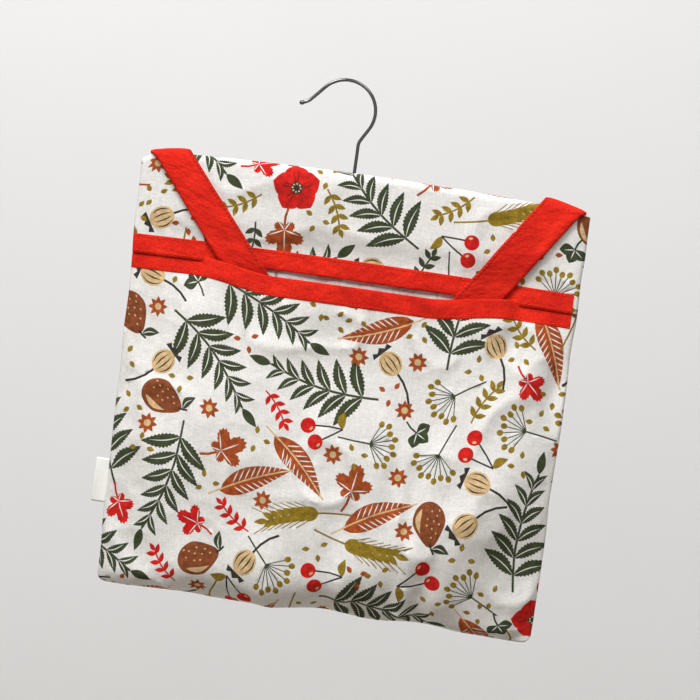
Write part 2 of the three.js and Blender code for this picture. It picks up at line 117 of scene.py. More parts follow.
# Mouth; places across it are shares of half the bag's width
MOUTH_DROP = 75
LIP_END_DROP = 72  # the lower lip's fold at the sides, behind the upper binding
LIP_SAG = 7.6  # and how much lower it hangs at its middle
LIP_SAG_ENDS = (0.33, 0.72)
LIP_OVER_STRAP = 5.8  # how far the lower lip stands out over the strap
LIP_STRAP_ENDS = (-0.01, 0.08)  # counted from the strap's edge
LIP_FORWARD = 6  # and how much farther it stands out at its middle
LIP_FORWARD_ENDS = (0.1, 0.6)
LIP_REACH = 90
STRAP_LIMITS = (-0.614, 0.673)  # the strap's outer edges in the mouth
OVERLAP = 0.73  # at the sewn ends the upper binding stands out and the lower one lies in by this much
OVERLAP_ENDS = (0.02, 0.09)  # counted from the strap's edge
OVERLAP_ABOVE = (30, 4)  # heights above the mouth
OVERLAP_BELOW = 40  # depth below it
LINING_FORWARD = 1.5  # the back comes forward this much between the strap's two runs
LINING_ENDS = (0.36, 0.6)
BINDING_T = 0.4

# Shoulder strap; lengths along its front runs are shares of them, from the fold to the mouth
STRAP_W = 26
STRAP_T = 1.6
STRAP_TAIL = 4  # length sewn into the top seam
STRAP_TIP = 2.2  # the fold's outer end stands out past the strap's edge
STRAP_TIP_SHARE = 0.12  # over this length
STRAP_TIP_FADE = 5  # a power
STRAP_FOLD_CROWN = 0.8
STRAP_TUCK = 0.14  # length that goes on behind the lower lip
STRAP_OFF = 2.1
STRAP_SINK = 2.4  # the strap goes in this far behind the lower lip
STRAP_SINK_SPAN = (0.98, 1.1)
STRAP_LEAN = {1: 0, -1: 2.6}  # the left and the right run's inner edge stands out this much farther
STRAP_LEAN_START = (0.05, 0.35)
STRAP_LEAN_STOP = (0.7, 1)
LOOP_SPAN = 170
LOOP_FOOT = 26  # from the loop's lowest point to the bag's bottom

# The strap's front runs: the outer and the inner end, as (x, z), of the fold over the top edge and of the
# line where the strap enters the mouth
STRAP_LEFT = {
    "fold": ((-129.2, -66.6), (-103.2, -62.4)),
    "mouth": ((-72.9, -137.2), (-39.2, -138.9)),
}
STRAP_RIGHT = {
    "fold": ((175.4, -67.9), (147.8, -61.2)),
    "mouth": ((128.0, -137.0), (94.5, -139.0)),
}

# Label
LABEL_W = 8.8
LABEL_H = 31
LABEL_DROP = 223

# Sizes that follow
ARC_R = SADDLE_R + WIRE_R
NECK_RUN = (ARC_R * math.cos(NECK_LEAN) - STEM_X) / math.sin(NECK_LEAN)
NECK_Z = -SADDLE_R - ARC_R * math.sin(NECK_LEAN) - NECK_RUN * math.cos(NECK_LEAN)
TOP_Z = NECK_Z - STEM_SHOWN
TOP_ARC = FOLD_R * math.pi / 2
PANEL_RUN = TOP_ARC + BAG_HEIGHT - FOLD_R + FOOT_SLACK

# Seeds of what is left to chance
SEEDS = {"foot": 3, "sides": 4, "back": 11, "yoke": 21, "pouch": 31, "front": 32, "strap": 41}
PRINT_SEEDS = {"back": 5, "yoke": 6, "pouch": 7}
NOISE_CELLS = 64


# Small maths

def smooth(value, low, high):
    """0 below low, 1 above high and an even ramp between them."""
    share = np.clip((value - low) / (high - low), 0, 1)
    return share * share * (3 - 2 * share)


def mixed(low, high, share):
    return low + (high - low) * share


def unit(vectors):
    return vectors / np.linalg.norm(vectors, axis=-1, keepdims=True)


def lengths_along(path):
    return np.concatenate([[0], np.cumsum(np.linalg.norm(np.diff(path, axis=0), axis=1))])


def pairs(first, second):
    """Each first value with each second one, as rows of two."""
    return np.stack(np.meshgrid(first, second, indexing="ij"), axis=-1).reshape(-1, 2)


def noise(x, y, seed):
    """Smooth noise from -1 to 1 whose bumps are about one unit across."""
    table = np.random.default_rng(seed).uniform(-1, 1, (NOISE_CELLS, NOISE_CELLS))
    column, row = np.floor(x).astype(int), np.floor(y).astype(int)
    across, down = smooth(x - column, 0, 1), smooth(y - row, 0, 1)

    def corner(i, j):
        return table[(column + i) % NOISE_CELLS, (row + j) % NOISE_CELLS]

    upper = mixed(corner(0, 0), corner(1, 0), across)
    lower = mixed(corner(0, 1), corner(1, 1), across)
    return mixed(upper, lower, down)


# The bag's surfaces: u runs across from -1 to 1, and run is the length down the cloth from the top edge

def arch(x, depth):
    return TOP_DROP * ((x - STEM_X) / (BAG_WIDTH / 2)) ** 2 * (1 - depth / BAG_HEIGHT) ** TOP_DROP_FADE


def height(x, depth):
    wave = FOOT_WAVE * noise(x / FOOT_WAVE_LENGTH, 0 * x, SEEDS["foot"])
    return TOP_Z - arch(x, depth) - depth + wave * smooth(depth, BAG_HEIGHT - FOOT_WAVE_REACH, BAG_HEIGHT)


def corner_drop(u, depth):
    left, right = TOP_CORNER_DROP
    near = smooth(np.abs(u), TOP_CORNER_FROM, 1) * (1 - smooth(depth, 0, TOP_CORNER_REACH))
    return np.where(u < 0, left, right) * near


def half_width(depth):
    side = mixed(BAG_WIDTH, BAG_FOOT_WIDTH, depth / BAG_HEIGHT) / 2
    turn = np.clip((depth - BAG_HEIGHT) / FOOT_CORNER_R + 1, 0, 1)
    return side - FOOT_CORNER_R * (1 - np.sqrt(1 - turn * turn))


def middle_x(depth):
    return BAG_X + SWAY * (depth / BAG_HEIGHT - SWAY_STILL)


def side_wave(u, depth):
    """How far the side seams wander, in and out; each side has its own row of the noise."""
    row = SIDE_WAVE_ROW + np.sign(u)
    wander = SIDE_WAVE * noise(depth / SIDE_WAVE_LENGTH, row, SEEDS["sides"]) * smooth(depth, *SIDE_WAVE_FROM)
    return np.sign(u) * wander * np.abs(u) ** SIDE_WAVE_FADE


def foot_turn(u):
    """Height of the cloth's turn at the bottom: it rises to the right side."""
    left, middle, right = FOOT_TURN
    low = mixed(left, middle, smooth(u, -1, FOOT_LOW_TO))
    return mixed(low, right, np.clip((u - FOOT_RISE_FROM) / (1 - FOOT_RISE_FROM), 0, 1))


def profile(u, run):
    """Depth below the top edge, and the share of the stand-out that the rounded top and foot leave."""
    over = np.clip(run / FOLD_R, 0, math.pi / 2)
    turn = foot_turn(u)
    straight = BAG_HEIGHT - FOLD_R - turn
    down = np.clip(run - TOP_ARC, 0, straight)
    gone = np.clip((run - TOP_ARC - straight) / (turn + FOOT_SLACK), 0, 1)
    tall = np.clip((turn - FRONT_BELLY) / (turn + FRONT_BELLY), 0, 1)
    under = mixed(gone * math.pi / 2, np.arcsin(gone), tall)
    depth = FOLD_R * (1 - np.cos(over)) + down + turn * np.sin(under)
    return depth, np.sin(over) * np.cos(under)


def run_at(depth):
    """The run of a depth on the straight part of the cloth."""
    return depth - FOLD_R + TOP_ARC


def depth_at(run):
    return run - TOP_ARC + FOLD_R


def stand_out(waist, belly, depth):
    """How far a panel stands out at the bag's middle: over the bar, in at the waist, out at the belly."""
    painted_groove_shade = mixed(FOLD_R, waist, smooth(depth, WAIST_TOP, WAIST_DROP))
    filled = np.sin(math.pi / 2 * np.clip((depth - BELLY_TOP) / (BELLY_DROP - BELLY_TOP), 0, 1))
    return mixed(painted_groove_shade, belly, filled)


def waves(u, depth):
    """Broad waves in the slack cloth, held still by the seams, the bindings and the bottom."""
    x = u * BAG_WIDTH / 2
    begun = smooth(depth, BELLY_TOP, BELLY_TOP + WAVE_FADE)
    free = begun * (1 - smooth(depth, WAVE_END - WAVE_FADE, WAVE_END))
    heights = 0
    for across, down, start, share in WAVES:
        heights = heights + share * np.sin(2 * math.pi * (x / across + depth / down) + start)
    return WAVE_H * free * heights


def below_drag(x, depth):
    """How far a place of the pouch lies below the drawn fold, towards the lower right corner."""
    across, down = np.subtract(DRAG_END, DRAG_START)
    return ((depth - DRAG_START[1]) * across - (x - DRAG_START[0]) * down) / math.hypot(across, down)


def drawn_fold(x, depth):
    return DRAG_RISE * np.exp(-(below_drag(x, depth) / DRAG_WIDTH) ** 2)


def no_fold(x, depth):
    return 0 * x


def fullness(u, depth):
    power = mixed(BAR_SQUARENESS, BELLY_SQUARENESS, np.clip(depth / SQUARE_DROP, 0, 1))
    return 1 - np.abs(u) ** power


def edge_round(inset):
    """The panel's soft edge beside the seam, as a quarter round."""
    short = 1 - np.clip(inset / EDGE_ROUND, 0, 1)
    return EDGE_ROUND * np.sqrt(1 - short * short)


def upper_fold(u):
    return MOUTH_DROP + 0 * u


def lower_fold(u):
    return LIP_END_DROP + LIP_SAG * (1 - smooth(np.abs(u), *LIP_SAG_ENDS))


def past_strap(u):
    """How far a place lies beyond the strap's outer edge, towards the side."""
    return np.where(u < 0, STRAP_LIMITS[0] - u, u - STRAP_LIMITS[1])


def overlapped(u):
    """1 at the sewn ends of the mouth, where the bindings lie over each other."""
    return smooth(past_strap(u), *OVERLAP_ENDS)


def at_waist(depth):
    """1 where the front and the back lie close to each other."""
    parting = smooth(depth, *(BELLY_TOP + below for below in WAIST_PARTS))
    return smooth(depth, WAIST_TOP, WAIST_DROP) * (1 - parting)


def pouch_lip(u, depth):
    below = np.clip((depth - lower_fold(u)) / LIP_REACH, 0, 1)
    over_strap = LIP_OVER_STRAP * (1 - smooth(past_strap(u), *LIP_STRAP_ENDS))
    open_middle = LIP_FORWARD * (1 - smooth(np.abs(u), *LIP_FORWARD_ENDS))
    lying_in = OVERLAP * overlapped(u) * (1 - smooth(depth, MOUTH_DROP, MOUTH_DROP + OVERLAP_BELOW))
    return (over_strap + open_middle) * (1 - below) ** 2 - lying_in


def yoke_lip(u, depth):
    near = smooth(depth, *(MOUTH_DROP - above for above in OVERLAP_ABOVE))
    return OVERLAP * overlapped(u) * near


def back_lip(u, depth):
    """The back touches the upper binding between the strap's two runs."""
    return -LINING_FORWARD * at_waist(depth) * (1 - smooth(np.abs(u), *LINING_ENDS))


NORMAL_STEPS = (0.003, 0.4)  # across and down, to either side of the place where a normal is taken


class Side:
    """One face of the bag. facing is -1 for the front."""

    def __init__(self, facing, waist, belly, fold, lip, creases):
        self.facing = facing
        self.waist = waist
        self.belly = belly
        self.fold = fold
        self.lip = lip
        self.creases = creases

    def smooth_point(self, u, run):
        u = np.clip(u, -1, 1)
        depth, share = profile(u, run)
        half = half_width(depth)
        x = middle_x(depth) + u * half + side_wave(u, depth)
        full = fullness(u, depth)
        swell = (stand_out(self.waist, self.belly, depth) + waves(u, depth) + self.fold(x, depth)) * full
        edge = edge_round((1 - np.abs(u)) * half) * np.sqrt(1 - full)
        out = (np.hypot(swell, edge) + self.lip(u, depth)) * share + SEAM_GAP
        return np.stack([x, self.facing * out, height(x, depth) - corner_drop(u, depth)], axis=-1)

    def normal_of(self, shape, u, run):
        du, dr = NORMAL_STEPS
        across = shape(u + du, run) - shape(u - du, run)
        down = shape(u, run + dr) - shape(u, run - dr)
        return unit(np.cross(across, down) * self.facing)

    def point(self, u, run):
        u, run = np.broadcast_arrays(np.clip(u, -1, 1), run)
        crease = self.creases(u, run)[..., None]
        return self.smooth_point(u, run) + crease * self.normal_of(self.smooth_point, u, run)

    def normal(self, u, run):
        return self.normal_of(self.point, u, run)


# Creases: each kind has a height, and the length of its bumps along the first and the second place given

ROLLS = (2.8, 32, 105)  # the cloth's shorter waves
SMALL_ROLLS = (1.12, 22, 40)
ROLL_LEAN = (-0.14, 0.5)  # sideways lean of the waves at the left and at the right
ROLL_LEAN_SPAN = (-30, 110)  # places across, between which the lean changes
SIDE_PUCKERS = (1.3, 11, 60)
SIDE_PUCKER_REACH = 14
FOOT_PUCKERS = (2.2, 17, 60)
FOOT_PUCKER_REACH = 30
CRUMPLE = 3.5  # height of the fold ridges
CRUMPLE_SUNK = 0.4  # share of it that lies below the cloth's even face
RIDGES = (1, 30, 36)
SMALL_RIDGES = (1, 13, 17)
RIDGE_SHARE = 0.8  # the rest are small ridges
RIDGE_BEND = (12, 45, 45)  # how the ridges wander
YOKE_GATHERS = (0.7, 12, 45)
YOKE_GATHER_REACH = (4, 30)  # above the mouth
POUCH_GATHERS = (1.2, 15, 70)
POUCH_GATHER_FROM = (4, 22)  # below the mouth
POUCH_GATHER_REACH = 42
YOKE_CALM = 0.65  # share of the creases that is left in the yoke, which is stretched over the bar
YOKE_CALM_ENDS = (-12, 20)  # from the mouth down
TAPE_CALM = 0.55  # share of the creases that the tapes take away
TAPE_CALM_REACH = 18
WAIST_ROOM = 0.6  # creases may go in by this much at the waist
BAR_ROOM = 0.08  # and by this much over the bar
BAR_REACH = (46, 64)  # the bar reaches down to here in the lifted bag; below that, creases are free
HELD_SIDE = 8  # creases fade out at the sewn edges over these lengths
HELD_TOP = (2, 16)
HELD_FOOT = 14


def ripple(kind, x, y, seed):
    high, x_length, y_length = kind
    return high * noise(x / x_length, y / y_length, seed)


def from_side(u):
    return (1 - np.abs(u)) * BAG_WIDTH / 2


def held_edges(u, run):
    """0 at the sewn sides, top and foot, where the cloth can't rise."""
    across = smooth(from_side(u), 0, HELD_SIDE)
    return across * smooth(run, *HELD_TOP) * smooth(PANEL_RUN - run, 0, HELD_FOOT)


def crumple(x, y, seed):
    """Flat dents with soft ridges between them, as in cotton that has been folded away; from 0 to 1."""
    bend = ripple(RIDGE_BEND, x, y, seed)
    ridge = 1 - np.abs(ripple(RIDGES, x + bend, y - bend, seed + 1))
    small = 1 - np.abs(ripple(SMALL_RIDGES, x - bend, y + bend, seed + 2))
    return RIDGE_SHARE * ridge ** 3 + (1 - RIDGE_SHARE) * small ** 2


def soft_creases(u, run, seed):
    """The cloth's own unevenness, with puckers beside the side seams and the foot."""
    x = u * BAG_WIDTH / 2
    hanging = x + run * mixed(*ROLL_LEAN, smooth(x, *ROLL_LEAN_SPAN))
    rolls = ripple(ROLLS, hanging, run, seed) + ripple(SMALL_ROLLS, x, run, seed + 1)
    side = ripple(SIDE_PUCKERS, run, x, seed + 2) * np.exp(-from_side(u) / SIDE_PUCKER_REACH)
    foot = ripple(FOOT_PUCKERS, x, run, seed + 3) * np.exp(-(PANEL_RUN - run) / FOOT_PUCKER_REACH)
    dents = CRUMPLE * (crumple(x, run, seed + 4) - CRUMPLE_SUNK)
    return (rolls + side + foot + dents) * held_edges(u, run)


def clear_of_bar(creases, run):
    return mixed(np.maximum(creases, -BAR_ROOM), creases, smooth(run, *BAR_REACH))


def back_creases(u, run):
    """The back's own creases; at the waist the back follows the front's."""
    own = soft_creases(u, run, SEEDS["back"])
    return clear_of_bar(mixed(own, -front_creases(u, run), at_waist(depth_at(run))), run)


def front_creases(u, run):
    """Creases through both front panels, calmed by the bar and the tapes and kept out of the waist."""
    to_tapes = run - run_at(MOUTH_DROP)
    calm = 1 - TAPE_CALM * np.exp(-(to_tapes / TAPE_CALM_REACH) ** 2)
    calm = calm * mixed(YOKE_CALM, 1, smooth(to_tapes, *YOKE_CALM_ENDS))
    creases = soft_creases(u, run, SEEDS["front"]) * calm
    creases = mixed(creases, np.maximum(creases, -WAIST_ROOM), at_waist(depth_at(run)))
    return clear_of_bar(creases, run)


def yoke_creases(u, run):
    above = np.clip(run_at(MOUTH_DROP) - run, 0, None)
    gathers = ripple(YOKE_GATHERS, u * BAG_WIDTH / 2, run, SEEDS["yoke"])
    gathers = gathers * (1 - smooth(above, *YOKE_GATHER_REACH)) * (1 - overlapped(u))
    return front_creases(u, run) + gathers * held_edges(u, run)


def pouch_creases(u, run):
    below = np.clip(run - run_at(lower_fold(u)), 0, None)
    gathers = ripple(POUCH_GATHERS, u * BAG_WIDTH / 2, run, SEEDS["pouch"])
    gathers = gathers * smooth(below, *POUCH_GATHER_FROM) * np.exp(-below / POUCH_GATHER_REACH)
    return front_creases(u, run) + gathers * (1 - overlapped(u)) * held_edges(u, run)


back_side = Side(1, BACK_WAIST, BACK_BELLY, no_fold, back_lip, back_creases)
yoke_side = Side(-1, FRONT_WAIST, FRONT_BELLY, no_fold, yoke_lip, yoke_creases)
pouch_side = Side(-1, FRONT_WAIST, FRONT_BELLY, drawn_fold, pouch_lip, pouch_creases)


# Meshes

def mesh_object(name, points, faces):
    """A new object from points in millimetres."""
    mesh = bpy.data.meshes.new(name)
    mesh.from_pydata((np.asarray(points) * MM).tolist(), [], faces)
    mesh.polygons.foreach_set("use_smooth", [True] * len(mesh.polygons))
    piece = bpy.data.objects.new(name, mesh)
    bpy.context.collection.objects.link(piece)
    return piece


def grid_faces(rows, columns, around=False):
    """Quads of a grid whose points are numbered row by row; around joins the ends of each row."""
    faces = []
    for row in range(rows - 1):
        here, below = row * columns, (row + 1) * columns
        for k in range(columns if around else columns - 1):
            after = (k + 1) % columns
            faces.append((here + k, here + after, below + after, below + k))
    return faces


def apply_modifier(piece, kind, **settings):
    bpy.ops.object.select_all(action="DESELECT")
    bpy.context.view_layer.objects.active = piece
    piece.select_set(True)
    modifier = piece.modifiers.new(kind.title(), kind)
    for name, value in settings.items():
        setattr(modifier, name, value)
    bpy.ops.object.modifier_apply(modifier=modifier.name)
    piece.select_set(False)


def set_flat_map(piece, flat):
    """Gives each corner its place on the flat cloth, in metres, as the UV map called flat."""
    mesh = piece.data
    corners = np.empty(len(mesh.loops), dtype=np.int32)
    mesh.loops.foreach_get("vertex_index", corners)
    layer = mesh.uv_layers.new(name="flat")
    layer.data.foreach_set("uv", (np.asarray(flat)[corners] * MM).astype(np.float32).ravel())


def mark_painted_groove_shade(piece, amount):
    """Marks where a row of stitches draws the cloth in, from 0 to 1 at each point, for painted shade that
    darkens the colour in that groove.
    """
    layer = piece.data.attributes.new("sewn", "FLOAT", "POINT")
    layer.data.foreach_set("value", np.asarray(amount, dtype=np.float32).ravel())


def dress(piece, body, slot, *materials):
    """The piece's finishes and the body that it moves with; slot, its material slot in the record, is not
    used.
    """
    for material in materials:
        piece.data.materials.append(material)
    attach(piece, body)


# The print: each motif gives dyes and outlines, in millimetres about its own middle, the lowest first

def srgb(red, green, blue):
    """An opaque colour as it is seen, from 0 to 255, made linear."""
    def linear(level):
        level /= 255
        return level / 12.92 if level <= 0.04045 else ((level + 0.055) / 1.055) ** 2.4
    return (linear(red), linear(green), linear(blue), 1)


GROUND = srgb(243, 241, 238)
DYES = {
    "ground": GROUND,
    "green": srgb(58, 66, 42),
    "rust": srgb(160, 72, 26),
    "brown": srgb(130, 68, 36),
    "red": srgb(198, 22, 16),
    "dark red": srgb(146, 24, 20),
    "mustard": srgb(140, 115, 24),
    "tan": srgb(214, 182, 134),
    "charcoal": srgb(52, 48, 42),
}


def turned(outline, angle, at=(0, 0)):
    cos, sin = math.cos(angle), math.sin(angle)
    return outline @ np.array([[cos, sin], [-sin, cos]]) + np.asarray(at)


def blade(length, width, angle=0, at=(0, 0), bow=0, belly=0.85, notch=0):
    """A leaf, petal or grain that starts at a point and grows up, turned anticlockwise by angle.

    A notch cuts teeth into its edges.
    """
    along = np.linspace(0, 1, 23 if notch else 15)
    half = width / 2 * np.sin(math.pi * along ** belly) * (1 - notch * (np.arange(len(along)) % 2))
    middle = bow * np.sin(math.pi * along)
    right = np.stack([middle + half, length * along], axis=1)
    left = np.stack([middle - half, length * along], axis=1)[-2:0:-1]
    return turned(np.concatenate([right, left]), angle, at)


def turns(count):
    return [2 * math.pi * index / count for index in range(count)]


def ellipse(across, tall, angle=0, at=(0, 0), count=20):
    turn = np.linspace(0, 2 * math.pi, count, endpoint=False)
    return turned(np.stack([across / 2 * np.cos(turn), tall / 2 * np.sin(turn)], axis=1), angle, at)


def stalk(points, thick):
    """A line of even thickness through points."""
    points = np.asarray(points, dtype=float)
    ahead = unit(np.gradient(points, axis=0))
    beside = np.stack([ahead[:, 1], -ahead[:, 0]], axis=1) * thick / 2
    return np.concatenate([points + beside, (points - beside)[::-1]])


def bowed_line(length, bow, count=13):
    along = np.linspace(0, 1, count)
    return np.stack([bow * np.sin(math.pi * along), length * (along - 0.5)], axis=1)


def leaf_branch():
    """A bowed stem with pairs of long leaves, each with a pale rib."""
    stem = bowed_line(74, 5, 29)
    yield "green", stalk(stem, 1.5)
    for index in range(6):
        at = stem[4 + 4 * index]
        for hand in (1, -1):
            angle = hand * math.radians(62 - 5 * index)
            length = 27 - 2.6 * index
            yield "green", blade(length, 0.36 * length, angle, at, hand * 1.5, notch=0.22)
            yield "ground", blade(0.8 * length, 0.7, angle, at, hand * 1.3)
    yield "green", blade(15, 6, 0, stem[-1])


def feather():
    """A bowed vane with slits and a pale shaft."""
    yield "rust", blade(60, 19, 0, (0, -26), 3, 0.7)
    shaft = bowed_line(72, 3)
    for index in range(10):
        at = shaft[3] + (shaft[-2] - shaft[3]) * index / 10
        for hand in (1, -1):
            yield "ground", blade(11, 1.0, hand * math.radians(-48), at + (hand * 1.6, 4))
    yield "tan", stalk(shaft, 1.2)


def pear():
    """A pear with a pale cheek, a stalk and one leaf."""
    turn = np.linspace(0, 2 * math.pi, 40, endpoint=False)
    rise = np.sin(turn)
    radius = 13.5 - 4.8 * smooth(rise, -0.1, 1)
    body = np.stack([radius * np.cos(turn), 17 * rise + 2.5 * smooth(rise, 0, 1)], axis=1)
    freckles = [(3, -9), (7, -5), (4, -1), (8, 2), (2, 5), (5, 9), (-1, -3), (-2, 2), (1, 12), (9, -9)]
    yield "brown", body
    for spot in freckles:
        yield "tan", ellipse(1.3, 1.9, at=spot, count=8)
    yield "tan", turned(blade(20, 4.4, 0, (0, -10), -2.5), math.radians(8), (-6.5, -2))
    yield "charcoal", stalk([(0, 17), (0.8, 21), (2.6, 25)], 1.6)
    yield "green", blade(15, 7, math.radians(-70), (1, 20.5), 1.5)
    yield "ground", blade(12, 0.8, math.radians(-70), (1, 20.5), 1.4)


def poppy():
    """Five wide petals with darker folds and a dotted dark heart."""
    for angle in turns(5):
        yield "red", blade(20, 19, angle, belly=1.4)
        for fold in (-0.16, 0.16):
            yield "dark red", blade(14, 1.4, angle + fold)
    yield "charcoal", ellipse(10, 10)
    for angle in turns(8):
        yield "tan", ellipse(1.7, 1.7, at=(3.3 * math.cos(angle), 3.3 * math.sin(angle)), count=10)


def seed_head():
    """A ribbed round pod under a flat crown, on a bent stalk."""
    yield "charcoal", stalk([(0, 2), (0.6, -8), (3, -16), (7, -23)], 1.7)
    yield "tan", ellipse(17, 19, at=(0, 9))
    for lean in (-0.55, -0.18, 0.18, 0.55):
        yield "charcoal", blade(15, 1.1, 0, (7 * lean, 1.5), 5 * lean)
    crown = [(-8.5, 18.5), (8.5, 18.5), (6.6, 22.5), (3.4, 20.6), (0, 23.4), (-3.4, 20.6), (-6.6, 22.5)]
    yield "charcoal", np.array(crown)


def grain_ear():
    """An ear with paired grains and fine beards on a long stem."""
    stem = bowed_line(66, -4, 25)
    yield "mustard", stalk(stem, 1.3)
    for index in range(7):
        at = stem[9 + 2 * index]
        for hand in (1, -1):
            yield "mustard", blade(11, 4.6, hand * math.radians(30), at)
            yield "mustard", stalk([at + (hand * 5, 8), at + (hand * 9.5, 17)], 0.7)
    yield "mustard", blade(11, 4.4, 0, stem[-2])


def berry_pair():
    """Two round berries with a glint each, on a forked stalk with one leaf."""
    yield "charcoal", stalk([(0, 15), (-3.5, 6), (-7, -4)], 1.3)
    yield "charcoal", stalk([(0, 15), (3, 5), (5.5, -8)], 1.3)
    yield "mustard", blade(14, 6.5, math.radians(-75), (0, 14.5), 1.5)
    for at in ((-7.5, -8), (6, -12)):
        yield "red", ellipse(12, 12, at=at)
        yield "tan", ellipse(2, 3.4, math.radians(-35), (at[0] - 2.6, at[1] + 2.2), 10)


def lobed_leaf(dye):
    """A five-lobed leaf with pale veins and a short stalk."""
    turn = np.linspace(0, 2 * math.pi, 70, endpoint=False)
    lobes = np.abs(np.cos(2.5 * (turn - math.pi / 2)))
    radius = (8 + 9 * lobes ** 0.8) * (0.75 + 0.25 * np.sin(turn)) * (1 - 0.1 * (np.arange(70) % 2))
    yield dye, stalk([(0, -5), (0.5, -11), (2.5, -17)], 1.6)
    yield dye, np.stack([radius * np.cos(turn), radius * np.sin(turn)], axis=1)
    for angle in turns(5):
        reach = 14 * (0.75 + 0.25 * math.cos(angle))
        yield "ground", blade(reach, 0.9, angle, (0, -2))


def daisy():
    """A small flower with narrow petals."""
    for angle in turns(8):
        yield "rust", blade(8.5, 4, angle)
    yield "tan", ellipse(5.6, 5.6, count=14)


def umbel():
    """A bare stalk that spreads into fine rays, each with a seed at its end."""
    yield "green", stalk([(1.5, -24), (0.5, -12), (0, 0)], 1.2)
    for index in range(9):
        lean = math.radians(-64 + 16 * index)
        reach = 17 + 2.5 * (index % 2)
        end = (reach * math.sin(lean), reach * math.cos(lean))
        yield "green", stalk([(0, 0), end], 0.7)
        yield "mustard", ellipse(4.2, 5, -lean, end, 14)


def trefoil():
    """Three round leaflets on a short stalk."""
    yield "green", stalk([(0, 2), (0.4, -4), (2, -9)], 1.3)
    for lean in (-1.15, 0, 1.15):
        yield "green", blade(11, 8.5, lean, (0, 1), belly=1.1)
        yield "ground", blade(7.5, 0.8, lean, (0, 1.5))


def sprig(dye):
    """A short twig with small leaves in pairs."""
    stem = bowed_line(26, 1.6)
    yield dye, stalk(stem, 1.1)
    yield dye, blade(6.5, 3.2, 0, stem[-1])
    for index in (2, 5, 8, 11):
        for hand in (1, -1):
            yield dye, blade(7.5, 3.4, hand * math.radians(52), stem[index])


def loose_seeds(dye):
    """Three seeds that have fallen together."""
    for angle, at in ((0.3, (0, 3)), (1.9, (-4, -3)), (-1.6, (4.2, -2))):
        yield dye, blade(5.5, 3.4, angle, at)


# Each motif: its maker, its scale, the discs (x, y, radius) that keep the others off it, and how many
# there are on each square decimetre
MOTIFS = [
    (leaf_branch, 1.08, [(1, -22, 15), (4, -2, 18), (3, 22, 13), (0, 42, 8)], 1.25),
    (feather, 0.9, [(0, -30, 3), (2, -14, 8), (3, 4, 9), (1, 24, 7)], 1.1),
    (pear, 0.86, [(0, -5, 13), (0, 10, 9), (9, 22, 7)], 0.55),
    (poppy, 0.86, [(0, 0, 18)], 0.4),
    (umbel, 0.95, [(1, -16, 3), (0, 8, 10), (-11, 10, 9), (11, 10, 9), (0, 17, 9)], 1.1),
    (grain_ear, 0.95, [(-2, -24, 3), (-4, -2, 9), (-2, 16, 11), (0, 36, 7)], 0.8),
    (seed_head, 0.95, [(0, 10, 11), (3, -14, 4)], 1.3),
    (lambda: lobed_leaf("rust"), 1.05, [(0, 0, 14)], 1.5),
    (berry_pair, 0.9, [(0, -8, 12), (4, 12, 7)], 1.5),
    (lambda: lobed_leaf("red"), 0.85, [(0, 0, 14)], 0.8),
    (lambda: sprig("mustard"), 1.1, [(0, -10, 4), (0, 0, 7), (0, 10, 7)], 3),
    (lambda: sprig("green"), 1.1, [(0, -10, 4), (0, 0, 7), (0, 10, 7)], 3),
    (lambda: sprig("red"), 1, [(0, -10, 4), (0, 0, 7), (0, 10, 7)], 2),
    (trefoil, 1, [(0, 2, 10)], 5),
    (daisy, 0.85, [(0, 0, 9)], 6),
    (lambda: loose_seeds("mustard"), 1, [(0, 0, 6)], 16),
    (lambda: loose_seeds("rust"), 1, [(0, 0, 6)], 14),
]
SQUARE_DM = 1e4
MOTIF_GAP = 0.8
MOTIF_TRIES = 2500
SPILL = 14  # motifs may be cut by the cloth's edge this far out


def scatter(width, length, seed):
    """Throws the motifs on the flat cloth, large ones first, and keeps those that land clear of the rest."""
    rng = np.random.default_rng(seed)
    area = width * length / SQUARE_DM
    taken = np.empty((0, 3))
    shapes = []
    for make, scale, discs, share in MOTIFS:
        wanted = round(share * area)
        for _ in range(MOTIF_TRIES):
            if wanted <= 0:
                break
            spot = rng.uniform((-width / 2 - SPILL, -SPILL), (width / 2 + SPILL, length + SPILL))
            angle = rng.uniform(0, 2 * math.pi)
            discs_there = np.array(discs, dtype=float) * scale
            discs_there[:, :2] = turned(discs_there[:, :2], angle, spot)
            apart = np.linalg.norm(discs_there[:, None, :2] - taken[None, :, :2], axis=2)
            if np.any(apart < discs_there[:, None, 2] + taken[None, :, 2] + MOTIF_GAP):
                continue
            taken = np.concatenate([taken, discs_there])
            shapes += [(dye, turned(outline * scale, angle, spot)) for dye, outline in make()]
            wanted -= 1
    return shapes


# Printed cloth: the flat panel is cut along the outlines of its print, so every shape has sharp edges

CELL = 2.6
EDGE_STEPS = (0, 0.25, 0.7, 1.3, 2.1, 3.2, 4.8)
TOP_STEPS = (0, 1.1, 2.2, 3.3, 4.4, 5.5, 6.6, 7.7, 8.8)
NEAR_OUTLINE = 0.9
FILL_HULL = 0  # the kind of result that is asked for: triangles all over
MERGE_WITHIN = 1e-5


def marks(length, near_steps, far_steps):
    """Places of grid lines, close together at the ends and then a cell apart."""
    low, high = near_steps[-1], length - far_steps[-1]
    inner = np.linspace(low, high, round((high - low) / CELL) + 1)
    return np.concatenate([near_steps[:-1], inner, length - np.array(far_steps[-2::-1])])


def counter_clockwise(outline):
    ahead = np.roll(outline, -1, axis=0)
    area = np.sum(outline[:, 0] * ahead[:, 1] - ahead[:, 0] * outline[:, 1])
    return outline if area > 0 else outline[::-1]


def nearest(lines, values):
    """Index of the grid line that is nearest to each value."""
    index = np.clip(np.searchsorted(lines, values), 1, len(lines) - 1)
    return index - (values - lines[index - 1] < lines[index] - values)


